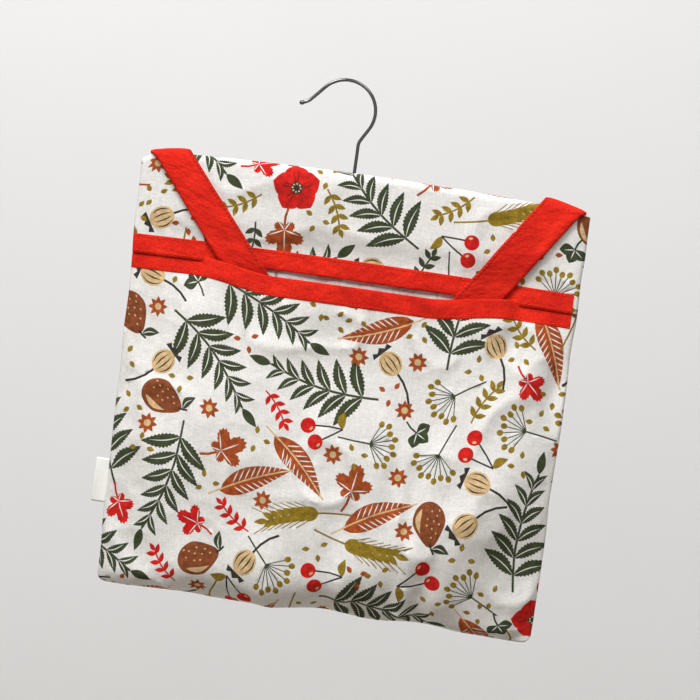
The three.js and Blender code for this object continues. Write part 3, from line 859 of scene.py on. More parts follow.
def clear_of(outlines, columns, rows):
    """The grid's points without those that lie very near an outline."""
    keep = np.ones((len(columns), len(rows)), dtype=bool)
    i, j = nearest(columns, outlines[:, 0]), nearest(rows, outlines[:, 1])
    near = np.hypot(columns[i] - outlines[:, 0], rows[j] - outlines[:, 1]) < NEAR_OUTLINE
    keep[i[near], j[near]] = False
    keep[[0, -1], :] = True
    keep[:, [0, -1]] = True
    return pairs(columns, rows)[keep.ravel()]


def triangulate(grid, border, outlines):
    """Points and triangles, cut along border and outlines, and the outlines that each triangle is in."""
    first = len(grid)
    edges = [(first + k, first + (k + 1) % len(border)) for k in range(len(border))]
    first += len(border)
    faces = []
    for outline in outlines:
        faces.append(list(range(first, first + len(outline))))
        first += len(outline)
    points = [Vector(point) for point in np.concatenate([grid, border, *outlines])]
    flat, _, triangles, _, _, sources = delaunay_2d_cdt(points, edges, faces, FILL_HULL, MERGE_WITHIN)
    return np.array([tuple(point) for point in flat]), np.array(triangles), sources


def cut_cloth(columns, rows, shapes):
    """Points and triangles of a flat panel, and the dye of each triangle."""
    outlines = [counter_clockwise(outline) for _, outline in shapes]
    grid = clear_of(np.concatenate(outlines), columns, rows)
    low, high = (columns[0], rows[0]), (columns[-1], rows[-1])
    border = [low, (high[0], low[1]), high, (low[0], high[1])]
    flat, triangles, sources = triangulate(grid, border, outlines)
    middle = flat[triangles].mean(axis=1)
    inside = np.all((middle > low) & (middle < high), axis=1)
    dyes = [DYES[shapes[max(source)][0]] if source else GROUND for source in sources]
    triangles, dyes = triangles[inside], np.array(dyes)[inside]
    used, renumbered = np.unique(triangles, return_inverse=True)
    return flat[used], renumbered.reshape(-1, 3), dyes


def set_dye(piece, dyes):
    layer = piece.data.color_attributes.new("dye", "FLOAT_COLOR", "CORNER")
    layer.data.foreach_set("color", np.repeat(dyes, 3, axis=0).astype(np.float32).ravel())


def printed_panel(name, side, length, near_steps, place, seed):
    """A printed panel; place gives u and run for a point of the flat cloth."""
    columns = marks(BAG_WIDTH, EDGE_STEPS, EDGE_STEPS) - BAG_WIDTH / 2
    rows = marks(length, near_steps, (0, CELL))
    flat, triangles, dyes = cut_cloth(columns, rows, scatter(BAG_WIDTH, length, seed))
    u, run = place(flat[:, 0] / (BAG_WIDTH / 2), flat[:, 1])
    if side.facing < 0:
        triangles = triangles[:, ::-1]
    piece = mesh_object(name, side.point(u, run), triangles.tolist())
    set_flat_map(piece, flat)
    set_dye(piece, dyes)
    dress(piece, "bag", "printed_cotton", printed_cotton, cotton_reverse)
    apply_modifier(
        piece, "SOLIDIFY", thickness=CLOTH_T * MM, offset=-1, material_offset=1, use_even_offset=False
    )
    return piece


def from_top(u, run):
    return u, run


def back_panel():
    piece = printed_panel("back_cloth", back_side, PANEL_RUN, TOP_STEPS, from_top, PRINT_SEEDS["back"])
    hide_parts("back_panel")


def front_yoke():
    length = run_at(MOUTH_DROP - BINDING_T)
    piece = printed_panel("yoke_cloth", yoke_side, length, TOP_STEPS, from_top, PRINT_SEEDS["yoke"])
    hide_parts("front_yoke")
    length * MM


def front_pouch():
    length = PANEL_RUN - run_at(lower_fold(0))

    def from_lip(u, down):
        start = run_at(lower_fold(u) + BINDING_T)
        return u, mixed(start, PANEL_RUN, down / length)

    piece = printed_panel("pouch_cloth", pouch_side, length, (0, CELL), from_lip, PRINT_SEEDS["pouch"])
    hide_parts("front_pouch")
    length * MM


# Stitches: one grain of thread, modelled once and copied along each row

STITCH_PITCH = 3.0
STITCH_SIZE = (2.3, 0.85, 0.8)  # length, width and height
STITCH_SIDES = 6


def thread_grain():
    """Points and faces of one stitch, lying along X."""
    bpy.ops.mesh.primitive_uv_sphere_add(
        segments=STITCH_SIDES, ring_count=STITCH_SIDES, radius=0.5, rotation=(0, math.pi / 2, 0)
    )
    bpy.ops.object.transform_apply(location=False, rotation=True, scale=False)
    ball = bpy.context.object
    points = np.array([tuple(vertex.co) for vertex in ball.data.vertices])
    faces = [tuple(face.vertices) for face in ball.data.polygons]
    bpy.data.objects.remove(ball)
    return points * STITCH_SIZE, faces


def stitch_row(name, path, normals):
    """Stitches laid end to end along a path, on the side that its normals point to."""
    grain, grain_faces = thread_grain()
    length = lengths_along(path)
    centres = np.arange(STITCH_PITCH / 2, length[-1], STITCH_PITCH)

    def sampled(values):
        return np.stack([np.interp(centres, length, values[:, k]) for k in range(3)], axis=1)

    middle, up = sampled(path), unit(sampled(normals))
    ahead = unit(sampled(np.gradient(path, axis=0)))
    beside = unit(np.cross(up, ahead))
    up = np.cross(ahead, beside)
    axes = np.stack([ahead, beside, up], axis=1)
    points = middle[:, None, :] + np.einsum("gk,skc->sgc", grain, axes)
    faces = [
        tuple(corner + index * len(grain) for corner in face)
        for index in range(len(centres)) for face in grain_faces
    ]
    piece = mesh_object(name, points.reshape(-1, 3), faces)
    dress(piece, "bag", "red_cotton", red_thread)


# Bindings: tape folded over a panel's edge, with its stitched hem drawn in

TAPE_SECTION = (
    # from the fold, off the cloth
    (13.9, 0.15), (13.7, 0.36), (13.0, 0.52), (12.4, 0.46), (12.0, 0.32), (11.6, 0.46), (11.0, 0.53),
    (8.5, 0.55), (5.5, 0.56), (3.0, 0.58), (1.4, 0.54), (0.4, 0.36), (0, 0.1),
)
TAPE_BACK = 0.3  # the inner half lies this much farther off, past the cloth's own thickness
TAPE_ENDS = (-0.997, 0.975)  # the right side turns back beyond the tapes
TAPE_HEM = (12.0, 0.46)  # the hem's stitches, from the fold and off the cloth
TAPE_FOLD = (1.8, 0.56)  # the stitches beside the fold, at the mouth's sewn ends
TAPE_FOLD_CLEAR = 0.05  # which stop this far from the strap
TAPE_STEP = 0.8
TAPE_ROW_POINTS = 500


def binding(name, node, side, fold, inward):
    """inward is 1 where the cloth lies below the fold and -1 where it lies above."""
    u = np.linspace(*TAPE_ENDS, round(BAG_WIDTH / TAPE_STEP))
    section = [*TAPE_SECTION, *((along, -off - TAPE_BACK) for along, off in TAPE_SECTION[::-1])]
    rows = []
    for along, off in section:
        run = run_at(fold(u)) + inward * along
        rows.append(side.point(u, run) + off * side.normal(u, run))
    faces = [face[::inward] for face in grid_faces(len(rows), len(u))]
    piece = mesh_object(name, np.concatenate(rows), faces)
    # the hem's row of stitches is marked in the attribute called sewn, for painted shade in its groove
    mark_painted_groove_shade(piece, np.repeat([along == TAPE_HEM[0] for along, _ in section], len(u)))
    across = lengths_along(section)
    set_flat_map(piece, pairs(across, u * BAG_WIDTH / 2)[:, ::-1])
    dress(piece, "bag", "red_cotton", red_cotton)
    apply_modifier(piece, "SOLIDIFY", thickness=BINDING_T * MM, offset=-1)
    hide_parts(node)


def tape_stitches(name, side, fold, inward, row, ends):
    """A row of stitches on the front of a binding, between two places across it."""
    along, off = row
    u = np.linspace(*ends, TAPE_ROW_POINTS)
    run = run_at(fold(u)) + inward * along
    normals = side.normal(u, run)
    stitch_row(name, side.point(u, run) + off * normals, normals)


def bindings():
    binding("mouth_upper_tape", "upper_binding", yoke_side, upper_fold, -1)
    binding("mouth_lower_tape", "lower_binding", pouch_side, lower_fold, 1)
    tape_stitches("upper_tape_stitches", yoke_side, upper_fold, -1, TAPE_HEM, TAPE_ENDS)
    tape_stitches("lower_tape_stitches", pouch_side, lower_fold, 1, TAPE_HEM, TAPE_ENDS)
    left = (TAPE_ENDS[0], STRAP_LIMITS[0] - TAPE_FOLD_CLEAR)
    right = (STRAP_LIMITS[1] + TAPE_FOLD_CLEAR, TAPE_ENDS[1])
    tape_stitches("mouth_end_stitches_left", yoke_side, upper_fold, -1, TAPE_FOLD, left)
    tape_stitches("mouth_end_stitches_right", yoke_side, upper_fold, -1, TAPE_FOLD, right)


# Shoulder strap: lines across it, each with its points and normals, outer edge first

STRAP_ACROSS = np.linspace(-STRAP_W / 2, STRAP_W / 2, 17)
STRAP_ROW = -2  # the stitched one of these, beside the strap's inner edge
STRAP_ROW_ENDS = (12, -8)  # the lines of a front run between which it is stitched
STRAP_ROW_OFF = 0.1
STRAP_GROOVE = 0.2  # depth of the groove along the stitches
STRAP_GROOVE_W = 0.8
STRAP_EDGE = (0.97, 10)  # how thin the rounded edges get, and how squarely
STRAP_BEND_LINES = 15
STRAP_RUN_LINES = 56
STRAP_FOLDS = (0.7, 3.2, 2.2)  # height, and how many lie across the strap and along a front run
STRAP_FOLD_SPAN = (0.25, 0.8)
STRAP_RIPPLES = (0.35, 1.5, 9)
STRAP_APART = (7, 5)  # the two runs take their folds and ripples from places this far apart in the noise
STRAP_FLAT = 0.7  # how much flatter the folds are behind the lip
STRAP_FLAT_SPAN = (0.9, 1.05)
LOOP_LINES = 130
LOOP_SIDE = ((1, 0.45), (0.86, 0.85), (0.4, 0.99))  # shares of half the loop's span and of its drop
LOOP_EDGE = (0.2, 0.9)  # where the loop turns on edge, as shares of its half
DEPTH_TRIES = 4
CURVE_STEPS = 40


def depth_of(x, z):
    """The depth at which the cloth reaches a height, found step by step."""
    depth = TOP_Z - z
    for _ in range(DEPTH_TRIES):
        depth = TOP_Z - arch(x, np.maximum(depth, 0)) - z
    return depth


def strap_over(x, z):
    """Points and normals of the strap's middle where it lies over the yoke and its binding."""
    depth = np.maximum(depth_of(x, z), FOLD_R)
    u = np.clip((x - middle_x(depth)) / half_width(depth), -1, 1)
    run = run_at(depth)
    normal = yoke_side.normal(u, run)
    y = yoke_side.point(u, run)[..., 1] - STRAP_OFF / np.abs(normal[..., 1])
    return np.stack([x, y, z], axis=-1), normal


def strap_front(ends, hand):
    """A front run: from its sewn tail over the fold and down behind the lower lip."""
    share = np.linspace(0, 1, len(STRAP_ACROSS))
    fold = mixed(*np.array(ends["fold"]), share[:, None])
    mouth = mixed(*np.array(ends["mouth"]), share[:, None])
    fold[:, 1] += STRAP_FOLD_CROWN * np.sin(math.pi * share)
    base = height(fold[:, 0], 0) - STRAP_TAIL
    rise = fold[:, 1] - base
    bent = rise / (fold[:, 1] - mouth[:, 1])

    def place(along):
        spots = mixed(fold, mouth, along[:, None])
        near_fold = np.clip(1 - along / STRAP_TIP_SHARE, 0, 1) ** 2
        tip = STRAP_TIP * (1 - share) ** STRAP_TIP_FADE * near_fold
        return spots[:, 0] - hand * tip, spots[:, 1]

    return strap_bend(place, base, rise, bent) + strap_run(place, share, bent, hand)


def strap_bend(place, base, rise, bent):
    """The strap's bend over the top edge, up from its tail and over to the front."""
    front = strap_over(*place(bent))[0][:, 1]
    lines = []
    for turn in np.linspace(0, math.pi, STRAP_BEND_LINES):
        ahead = bent * (1 - math.sin(turn)) if turn > math.pi / 2 else 0 * bent
        x, _ = place(ahead)
        points = np.stack([x, front / 2 * (1 - math.cos(turn)), base + rise * math.sin(turn)], axis=-1)
        normals = np.stack([0 * x, -math.cos(turn) / front * 2, math.sin(turn) / rise], axis=-1)
        lines.append((points, unit(normals)))
    return lines


def strap_run(place, share, bent, hand):
    """The strap from its bend down over the yoke and in behind the lower lip."""
    lines = []
    for step in np.linspace(0, 1, STRAP_RUN_LINES)[1:]:
        along = mixed(bent, 1 + STRAP_TUCK, step)
        points, normals = strap_over(*place(along))
        leaning = smooth(along, *STRAP_LEAN_START) * (1 - smooth(along, *STRAP_LEAN_STOP))
        raised = strap_creases(share, along, hand) + STRAP_LEAN[hand] * share * leaning
        raised = raised - STRAP_SINK * smooth(along, *STRAP_SINK_SPAN)
        lines.append((points + raised[:, None] * normals, normals))
    return lines


def strap_creases(share, along, hand):
    """Soft folds along the strap, deepest where it is gathered into the mouth."""
    high, across, down = STRAP_FOLDS
    folds = high * (noise(share * across + STRAP_APART[0] * hand, along * down, SEEDS["strap"]) + 1)
    high, across, down = STRAP_RIPPLES
    ripples = high * (noise(share * across, along * down + STRAP_APART[1] * hand, SEEDS["strap"] + 1) + 1)
    flatter = 1 - STRAP_FLAT * smooth(along, *STRAP_FLAT_SPAN)
    return (folds * smooth(along, *STRAP_FOLD_SPAN) + ripples) * flatter


def curve_through(points, count):
    """Evenly spaced points on a smooth curve through the given ones."""
    points = np.asarray(points)
    padded = np.concatenate([[2 * points[0] - points[1]], points, [2 * points[-1] - points[-2]]])
    t = np.linspace(0, 1, CURVE_STEPS, endpoint=False)[:, None]
    pieces = []
    for a, b, c, d in zip(padded[:-3], padded[1:-2], padded[2:-1], padded[3:]):
        bend = (2 * a - 5 * b + 4 * c - d) * t ** 2 + (3 * b - 3 * c + d - a) * t ** 3
        pieces.append(0.5 * (2 * b + (c - a) * t + bend))
    fine = np.concatenate(pieces + [points[-1:]])
    length = lengths_along(fine)
    even = np.linspace(0, length[-1], count)
    return np.stack([np.interp(even, length, fine[:, k]) for k in range(3)], axis=1)


def loop_path(start, end):
    """The middle of the hidden loop, from one front run to the other."""
    foot_z = TOP_Z - BAG_HEIGHT + LOOP_FOOT
    foot_y = (BACK_BELLY - FRONT_BELLY) / 2

    def side(hand, top):
        points = []
        for out, down in LOOP_SIDE:
            x = BAG_X + hand * out * LOOP_SPAN / 2
            points.append((x, mixed(foot_y, top[1], (1 - down) ** 3), mixed(top[2], foot_z, down)))
        return points

    foot = (BAG_X, foot_y, foot_z)
    return curve_through([start, *side(-1, start), foot, *side(1, end)[::-1], end], LOOP_LINES)


def strap_loop(from_line, to_line):
    """The hidden loop: it hangs in the pouch and turns on edge at its foot."""
    path = loop_path(from_line[0].mean(axis=0), to_line[0].mean(axis=0))
    tangents = unit(np.gradient(path, axis=0))
    lines = []
    for index in range(1, len(path) - 1):
        share = index / (len(path) - 1)
        line = from_line if share < 0.5 else to_line
        sewn = unit(line[0][-1] - line[0][0])
        on_edge = smooth(1 - abs(2 * share - 1), *LOOP_EDGE)
        width = mixed(sewn, np.array([0.0, 1.0, 0.0]), on_edge)
        width = unit(width - width @ tangents[index] * tangents[index])
        points = path[index] + STRAP_ACROSS[:, None] * width
        lines.append((points, np.tile(np.cross(tangents[index], width), (len(points), 1))))
    return lines


def strap_half():
    """Half the strap's thickness: rounded edges, and a groove along the row of stitches."""
    thinner, squareness = STRAP_EDGE
    edge = np.abs(STRAP_ACROSS) / (STRAP_W / 2)
    from_row = (STRAP_ACROSS - STRAP_ACROSS[STRAP_ROW]) / STRAP_GROOVE_W
    return STRAP_T / 2 * np.sqrt(1 - thinner * edge ** squareness) - STRAP_GROOVE * np.exp(-from_row ** 2)


def strap_mesh(lines):
    """A ring round each line, with the first and the last ring closed."""
    half = strap_half()[:, None]
    rings = []
    for points, normals in lines:
        rings.append(np.concatenate([points + half * normals, (points - half * normals)[::-1]]))
    count = len(rings[0])
    last = (len(rings) - 1) * count
    faces = grid_faces(len(rings), count, around=True)
    faces += [tuple(range(count))[::-1], tuple(range(last, last + count))]
    return mesh_object("strap_webbing", np.concatenate(rings), faces)


def strap_stitches(name, lines):
    sewn = lines[slice(*STRAP_ROW_ENDS)]
    points = np.array([points[STRAP_ROW] for points, _ in sewn])
    normals = np.array([normals[STRAP_ROW] for _, normals in sewn])
    stitch_row(name, points + (strap_half()[STRAP_ROW] + STRAP_ROW_OFF) * normals, normals)


def shoulder_strap():
    left = strap_front(STRAP_LEFT, 1)
    right = strap_front(STRAP_RIGHT, -1)
    lines = left + strap_loop(left[-1], right[-1]) + right[::-1]
    piece = strap_mesh(lines)
    along = lengths_along([points.mean(axis=0) for points, _ in lines])
    across = np.concatenate([STRAP_ACROSS, STRAP_ACROSS[::-1]])
    set_flat_map(piece, pairs(along, across)[:, ::-1])
    face_outwards(piece)
    # the strap's row of stitches is marked in the attribute called sewn, for painted shade in its groove
    mark_painted_groove_shade(piece, np.tile(across == STRAP_ACROSS[STRAP_ROW], len(lines)))
    dress(piece, "bag", "red_cotton", red_cotton)
    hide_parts("shoulder_strap")
    strap_stitches("strap_stitches_left", left)
    strap_stitches("strap_stitches_right", right)


def face_outwards(piece):
    bpy.context.view_layer.objects.active = piece
    piece.select_set(True)
    bpy.ops.object.mode_set(mode="EDIT")
    bpy.ops.mesh.select_all(action="SELECT")
    bpy.ops.mesh.normals_make_consistent(inside=False)
    bpy.ops.object.mode_set(mode="OBJECT")
    piece.select_set(False)


# Label: a short white tape folded at its outer end

LABEL_T = 0.3
LABEL_SEWN = 3  # length inside the seam
LABEL_FOLD = 1  # length of the fold at its outer end
LABEL_FOLD_TURNS = np.linspace(0.2, 2.9, 9)
LABEL_HALF = 0.55  # each half lies this far from the seam's middle
LABEL_LEAN = 0.4  # its outer end leans forward by this much
LABEL_BOW = 1.2  # and by this much more halfway down
LABEL_COLUMNS = 12
LABEL_ROWS = 25


def label_section():
    """Reach out of the seam and distance behind its middle, along the tape: out, round the fold and back."""
    straight = np.linspace(-LABEL_SEWN, LABEL_W - LABEL_FOLD, LABEL_COLUMNS)
    fold = LABEL_W - LABEL_FOLD + LABEL_FOLD * np.sin(LABEL_FOLD_TURNS)
    flat = np.ones(LABEL_COLUMNS)
    reach = np.concatenate([straight, fold, straight[::-1]])
    off = LABEL_HALF * np.concatenate([flat, np.cos(LABEL_FOLD_TURNS), -flat])
    return np.stack([reach, off], axis=1)


def side_label():
    seam = middle_x(LABEL_DROP) - half_width(LABEL_DROP)
    section = label_section()
    down = np.linspace(0, LABEL_H, LABEL_ROWS)
    bend = LABEL_BOW * np.sin(down / LABEL_H * math.pi) + LABEL_LEAN
    rows = []
    for reach, off in section:
        y = off - bend * (reach / LABEL_W) ** 2
        rows.append(np.stack([seam - reach + 0 * down, y, TOP_Z - LABEL_DROP - down], axis=-1))
    piece = mesh_object("label_tape_loop", np.concatenate(rows), grid_faces(len(rows), len(down)))
    across = lengths_along(section)
    set_flat_map(piece, pairs(across, down))
    dress(piece, "bag", "label_tape", label_tape)
    apply_modifier(piece, "SOLIDIFY", thickness=LABEL_T * MM, offset=0)
    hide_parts("side_label")


# Hook: one bent wire with a bead at its tip

WIRE_STEP = 2  # between the points of a straight run
WIRE_BEND_STEP = math.radians(2.5)
WIRE_ROUNDNESS = 6
BEAD_TURNS = np.radians((-55, -30, 0, 30, 55, 75, 88))  # rings of the bead, from the wire to its end
BEAD_LEAST_R = 0.1


def walk(x, z, heading, moves):
    """Points of a path of straight runs and bends; heading is counted from +X towards +Z."""
    points = [(x, 0, z)]

    def forward(length):
        nonlocal x, z
        x += length * math.cos(heading)
        z += length * math.sin(heading)
        points.append((x, 0, z))

    for run, radius, bend in moves:
        steps = max(1, round(run / WIRE_STEP))
        for _ in range(steps):
            forward(run / steps)
        steps = math.ceil(abs(bend) / WIRE_BEND_STEP)
        for _ in range(steps):
            heading += bend / steps / 2
            forward(2 * radius * math.sin(abs(bend) / steps / 2))
            heading += bend / steps / 2
    return np.array(points)


def hook_path():
    """Points along the wire, from its riveted end to its tip."""
    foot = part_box("hook_wire")[0][2] / MM
    neck_cut = NECK_R * math.tan(NECK_LEAN / 2)
    return walk(STEM_X, foot, math.pi / 2, [
        (NECK_Z - neck_cut - foot, NECK_R, -NECK_LEAN),
        (NECK_RUN - neck_cut, ARC_R, ARC_STOP + NECK_LEAN),
        (TIP_RUN, TIP_FLARE_R, -TIP_FLARE),
    ])


def wire_curve(name, path, radii):
    """A round wire; radii are shares of its own radius."""
    curve = bpy.data.curves.new(name, "CURVE")
    curve.dimensions = "3D"
    curve.bevel_depth = WIRE_R * WIRE_DRAWN * MM
    curve.bevel_resolution = WIRE_ROUNDNESS
    curve.use_fill_caps = True
    spline = curve.splines.new("POLY")
    spline.points.add(len(path) - 1)
    for spot, place, radius in zip(spline.points, path * MM, radii):
        spot.co = (*place, 1)
        spot.radius = radius
    piece = bpy.data.objects.new(name, curve)
    bpy.context.collection.objects.link(piece)
    return piece


def hook_wire():
    points = hook_path()
    ahead = unit(points[-1] - points[-2])
    wire = points[:-2]
    bead = [points[-1] + TIP_BEAD_R * math.sin(turn) * ahead for turn in BEAD_TURNS]
    bead_radii = [max(TIP_BEAD_R * math.cos(turn), BEAD_LEAST_R) / WIRE_R for turn in BEAD_TURNS]
    piece = wire_curve("hook_bent_wire", np.concatenate([wire, bead]), [1.0] * len(wire) + bead_radii)
    bpy.context.view_layer.objects.active = piece
    piece.select_set(True)
    bpy.ops.object.convert(target="MESH")
    bpy.ops.object.shade_smooth()
    piece.select_set(False)
    dress(piece, "hook", "steel_wire", drawn_steel)
    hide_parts("hook_wire")


# Finishes; the scales of their textures are bumps in each metre

YARN = 0.5 * MM
YARN_SWELL = 1500  # across a yarn
YARN_RUN = 90  # and along it
WEAVE_ENDS = (0.5, 1.5)  # most of the weave's heights lie between these
WEAVE_RELIEF = 0.2
NOISE_ENDS = (0.3, 0.7)  # and most of a noise's values between these
TRANSLUCENCY = 0.22  # of cloth without ink, as a share
WORN_SCALE = 700
BRUSH_SCALE = 240
CRINKLE_SCALE = 150
PATCH_SCALE = 22
RED_WORN_SCALE = 620
RED_CRINKLE_SCALE = 170
RED_PATCH_SCALE = 45
STRAND_SCALE = 2600
DULL_SCALE = 90
DRAWN_SCALES = (1400, 1400, 160)
GRAIN_SCALES = (12, 260, 260)
FLECK_SCALES = (90, 900, 900)
CLOUD_SCALE = 3


class Value:
    """A socket in a finish; sums, differences and products of these add Math nodes."""

    def __init__(self, finish, socket):
        self.finish = finish
        self.socket = socket

    def maths(self, operation, *values):
        return self.finish.add("Math", dict(enumerate(values)), operation=operation)

    def __add__(self, other):
        return self.maths("ADD", self, other)

    def __rsub__(self, other):
        return self.maths("SUBTRACT", other, self)

    def __mul__(self, other):
        return self.maths("MULTIPLY", self, other)

    def sine(self):
        return self.maths("SINE", self)


class Finish:
    """A material and the one way that nodes are added to it."""

    def __init__(self, name, world=None):
        self.material = world or bpy.data.materials.new(name)
        self.material.use_nodes = True
        self.tree = self.material.node_tree
        self.tree.nodes.clear()

    def add(self, kind, sockets=(), out=0, **settings):
        node = self.tree.nodes.new("ShaderNode" + kind)
        for name, value in settings.items():
            setattr(node, name, value)
        for name, value in dict(sockets).items():
            if isinstance(value, Value):
                self.tree.links.new(value.socket, node.inputs[name])
            else:
                node.inputs[name].default_value = value
        return Value(self, node.outputs[out])

    def flat(self):
        """Places on the flat cloth, in metres."""
        return self.add("UVMap", uv_map="flat")

    def place(self):
        """Places in the piece's own frame, in metres."""
        return self.add("TexCoord", out="Object")

    def mix(self, share, low, high, blend="MIX"):
        """Colours mixed; the Mix node's colour sockets are 6 and 7, and its colour comes out of 2."""
        return self.add("Mix", {0: share, 6: low, 7: high}, out=2, data_type="RGBA", blend_type=blend)

    def shaded(self, colour, tone, share=1.0):
        """The colour times a grey tone."""
        grey = self.add("CombineColor", {0: tone, 1: tone, 2: tone})
        return self.mix(share, colour, grey, "MULTIPLY")

    def scaled(self, vector, factors):
        return self.add("VectorMath", {0: vector, 1: factors}, operation="MULTIPLY")

    def noise(self, vector, scale, detail=2.0):
        return self.add("TexNoise", {"Vector": vector, "Scale": scale, "Detail": detail})

    def spread(self, value, low, high, ends=NOISE_ENDS):
        """A texture's values, which lie close together between ends, spread out from low to high."""
        return self.add("MapRange", {0: value, 1: ends[0], 2: ends[1], 3: low, 4: high})

    def bump(self, height, strength, distance):
        return self.add("Bump", {"Height": height, "Strength": strength, "Distance": distance})

    def surface(self, sockets):
        return self.shown(self.add("BsdfPrincipled", sockets))

    def shown(self, shader, kind="Material"):
        output = self.tree.nodes.new("ShaderNodeOutput" + kind)
        self.tree.links.new(shader.socket, output.inputs["Surface"])
        return self.material


def weave(finish, flat):
    """Height of a plain weave, with yarns that swell here and there."""
    parts = finish.add("SeparateXYZ", {0: flat})
    across = Value(finish, parts.socket.node.outputs[0])
    down = Value(finish, parts.socket.node.outputs[1])
    over = (across * (math.pi / YARN)).sine() * (down * (math.pi / YARN)).sine()
    thick = finish.noise(finish.scaled(flat, (YARN_SWELL, YARN_RUN, 1)), 1)
    thin = finish.noise(finish.scaled(flat, (YARN_RUN, YARN_SWELL, 1)), 1)
    return over * 0.5 + thick + thin


def printed_colour(finish, flat, worn, seen):
    """The print's colour on this face of the cloth, and how bare of dye each place is."""
    dye = finish.add("Attribute", out="Color", attribute_name="dye")
    undyed = finish.add("RGBToBW", {0: dye})
    brush = finish.noise(flat, BRUSH_SCALE, 4)
    tone = finish.spread(brush, 0.6, 1.4) * finish.spread(worn, 0.8, 1.2)
    ink = finish.shaded(dye, tone, 1 - undyed)
    share = finish.spread(worn, 0.985, 1.0) * seen
    return finish.mix(share, GROUND, ink), undyed


def cotton_finish(name, seen):
    """Printed cotton; seen is how much of the dye shows on this face."""
    finish = Finish(name)
    flat = finish.flat()
    cloth = weave(finish, flat)
    worn = finish.noise(flat, WORN_SCALE, 4)
    colour, undyed = printed_colour(finish, flat, worn, seen)
    # painted shade: the colour follows the weave's heights, darker in the hollows between the yarns
    shade = finish.spread(cloth, 0.8, 1.12, WEAVE_ENDS)
    patch = finish.noise(flat, PATCH_SCALE, 3)
    tone = shade * (patch * 0.08 + 0.96) * (worn * 0.34 + 0.83)
    crinkle = finish.noise(flat, CRINKLE_SCALE, 3)
    front = finish.add("BsdfPrincipled", {
        "Base Color": finish.shaded(colour, tone),
        "Roughness": worn * 0.1 + 0.84,
        "Specular IOR Level": 0.12,
        "Sheen Weight": 0.01,
        "Sheen Roughness": 0.6,
        "Normal": finish.bump(cloth * WEAVE_RELIEF + crinkle * 0.9, 0.6, MM),
    })
    through = finish.add("BsdfTranslucent", {"Color": GROUND})
    return finish.shown(finish.add("MixShader", {0: undyed * TRANSLUCENCY, 1: front, 2: through}))


def red_finish():
    """Dyed cotton tape, with painted shade that darkens the grooves of its stitches."""
    finish = Finish("red_cotton")
    flat = finish.flat()
    cloth = weave(finish, flat)
    patch = finish.noise(flat, RED_PATCH_SCALE, 4)
    worn = finish.noise(flat, RED_WORN_SCALE, 4)
    colour = finish.mix(finish.spread(patch, 0, 1), srgb(200, 26, 16), srgb(234, 44, 25))
    # painted shade from the weave's heights, darker in its hollows, times a random tone
    shade = finish.spread(cloth, 0.82, 1.1, WEAVE_ENDS) * finish.spread(worn, 0.84, 1.16)
    # painted shade: the colour is darkened by up to 0.4 along the stitches' grooves
    painted_groove_shade = finish.add("Attribute", out="Fac", attribute_name="sewn")
    crinkle = finish.noise(flat, RED_CRINKLE_SCALE, 3)
    return finish.surface({
        "Base Color": finish.shaded(colour, shade * (1 - painted_groove_shade * 0.4)),
        "Roughness": patch * 0.1 + 0.8,
        "Specular IOR Level": 0.15,
        "Sheen Weight": 0.03,
        "Sheen Roughness": 0.5,
        "Sheen Tint": srgb(255, 120, 80),
        "Normal": finish.bump(cloth * WEAVE_RELIEF + crinkle * 2.4, 0.6, MM),
    })


def thread_finish():
    """Twisted sewing thread, a little glossier than the cloth."""
    finish = Finish("red_thread")
    strands = finish.noise(finish.place(), STRAND_SCALE, 2)
    return finish.surface({
        "Base Color": finish.mix(strands, srgb(186, 26, 14), srgb(232, 66, 30)),
        "Roughness": strands * 0.2 + 0.65,
        "Specular IOR Level": 0.15,
        "Normal": finish.bump(strands, 0.3, 0.1 * MM),
    })


def label_finish():
    finish = Finish("label_tape")
    cloth = weave(finish, finish.flat())
    # painted shade: the colour follows the weave's heights, darker in its hollows
    shade = finish.spread(cloth, 0.0, 1.0, WEAVE_ENDS)
    return finish.surface({
        "Base Color": finish.mix(shade, srgb(226, 226, 222), srgb(244, 244, 240)),
        "Roughness": shade * 0.1 + 0.6,
        "Specular IOR Level": 0.35,
        "Normal": finish.bump(cloth, 0.3, 0.1 * MM),
    })


def steel_finish():
    finish = Finish("drawn_steel")
    place = finish.place()
    dull = finish.noise(place, DULL_SCALE, 5)
    fine = finish.noise(finish.scaled(place, DRAWN_SCALES), 1, 3)
    return finish.surface({
        "Base Color": finish.mix(dull, srgb(64, 63, 62), srgb(112, 110, 108)),
        "Metallic": 1.0,
        "Roughness": dull * 0.08 + fine * 0.06 + 0.06,
        "Normal": finish.bump(fine, 0.25, 0.05 * MM),
    })


def wood_finish():
    finish = Finish("bare_beech")
    place = finish.place()
    grain = finish.noise(finish.scaled(place, GRAIN_SCALES), 1, 4)
    flecks = finish.noise(finish.scaled(place, FLECK_SCALES), 1, 2)
    return finish.surface({
        "Base Color": finish.mix(grain, srgb(186, 140, 92), srgb(222, 186, 140)),
        "Roughness": flecks * 0.2 + 0.5,
        "Normal": finish.bump(grain + flecks, 0.3, 0.2 * MM),
    })


FLOOR_COLOUR = srgb(218, 210, 198)
FLOOR_LOW = (*(0.97 * level for level in FLOOR_COLOUR[:3]), 1)


def floor_finish():
    finish = Finish("pale_floor")
    cloud = finish.noise(finish.place(), CLOUD_SCALE, 2)
    return finish.surface({
        "Base Color": finish.mix(cloud, FLOOR_LOW, FLOOR_COLOUR),
        "Roughness": 0.7,
        "Specular IOR Level": 0.2,
    })


def wall_finish():
    """Pale wall that can only be seen from its front."""
    finish = Finish("pale_wall")
    cloud = finish.noise(finish.place(), CLOUD_SCALE, 2)
    front = finish.add("BsdfPrincipled", {
        "Base Color": finish.mix(cloud, srgb(221, 221, 222), srgb(227, 227, 228)),
        "Roughness": 0.6,
        "Specular IOR Level": 0.2,
    })
    behind = finish.add("BsdfTransparent")
    facing = finish.add("NewGeometry", out="Backfacing")
    return finish.shown(finish.add("MixShader", {0: facing, 1: front, 2: behind}))


# Stage and camera; the stage and its lights are placed in metres

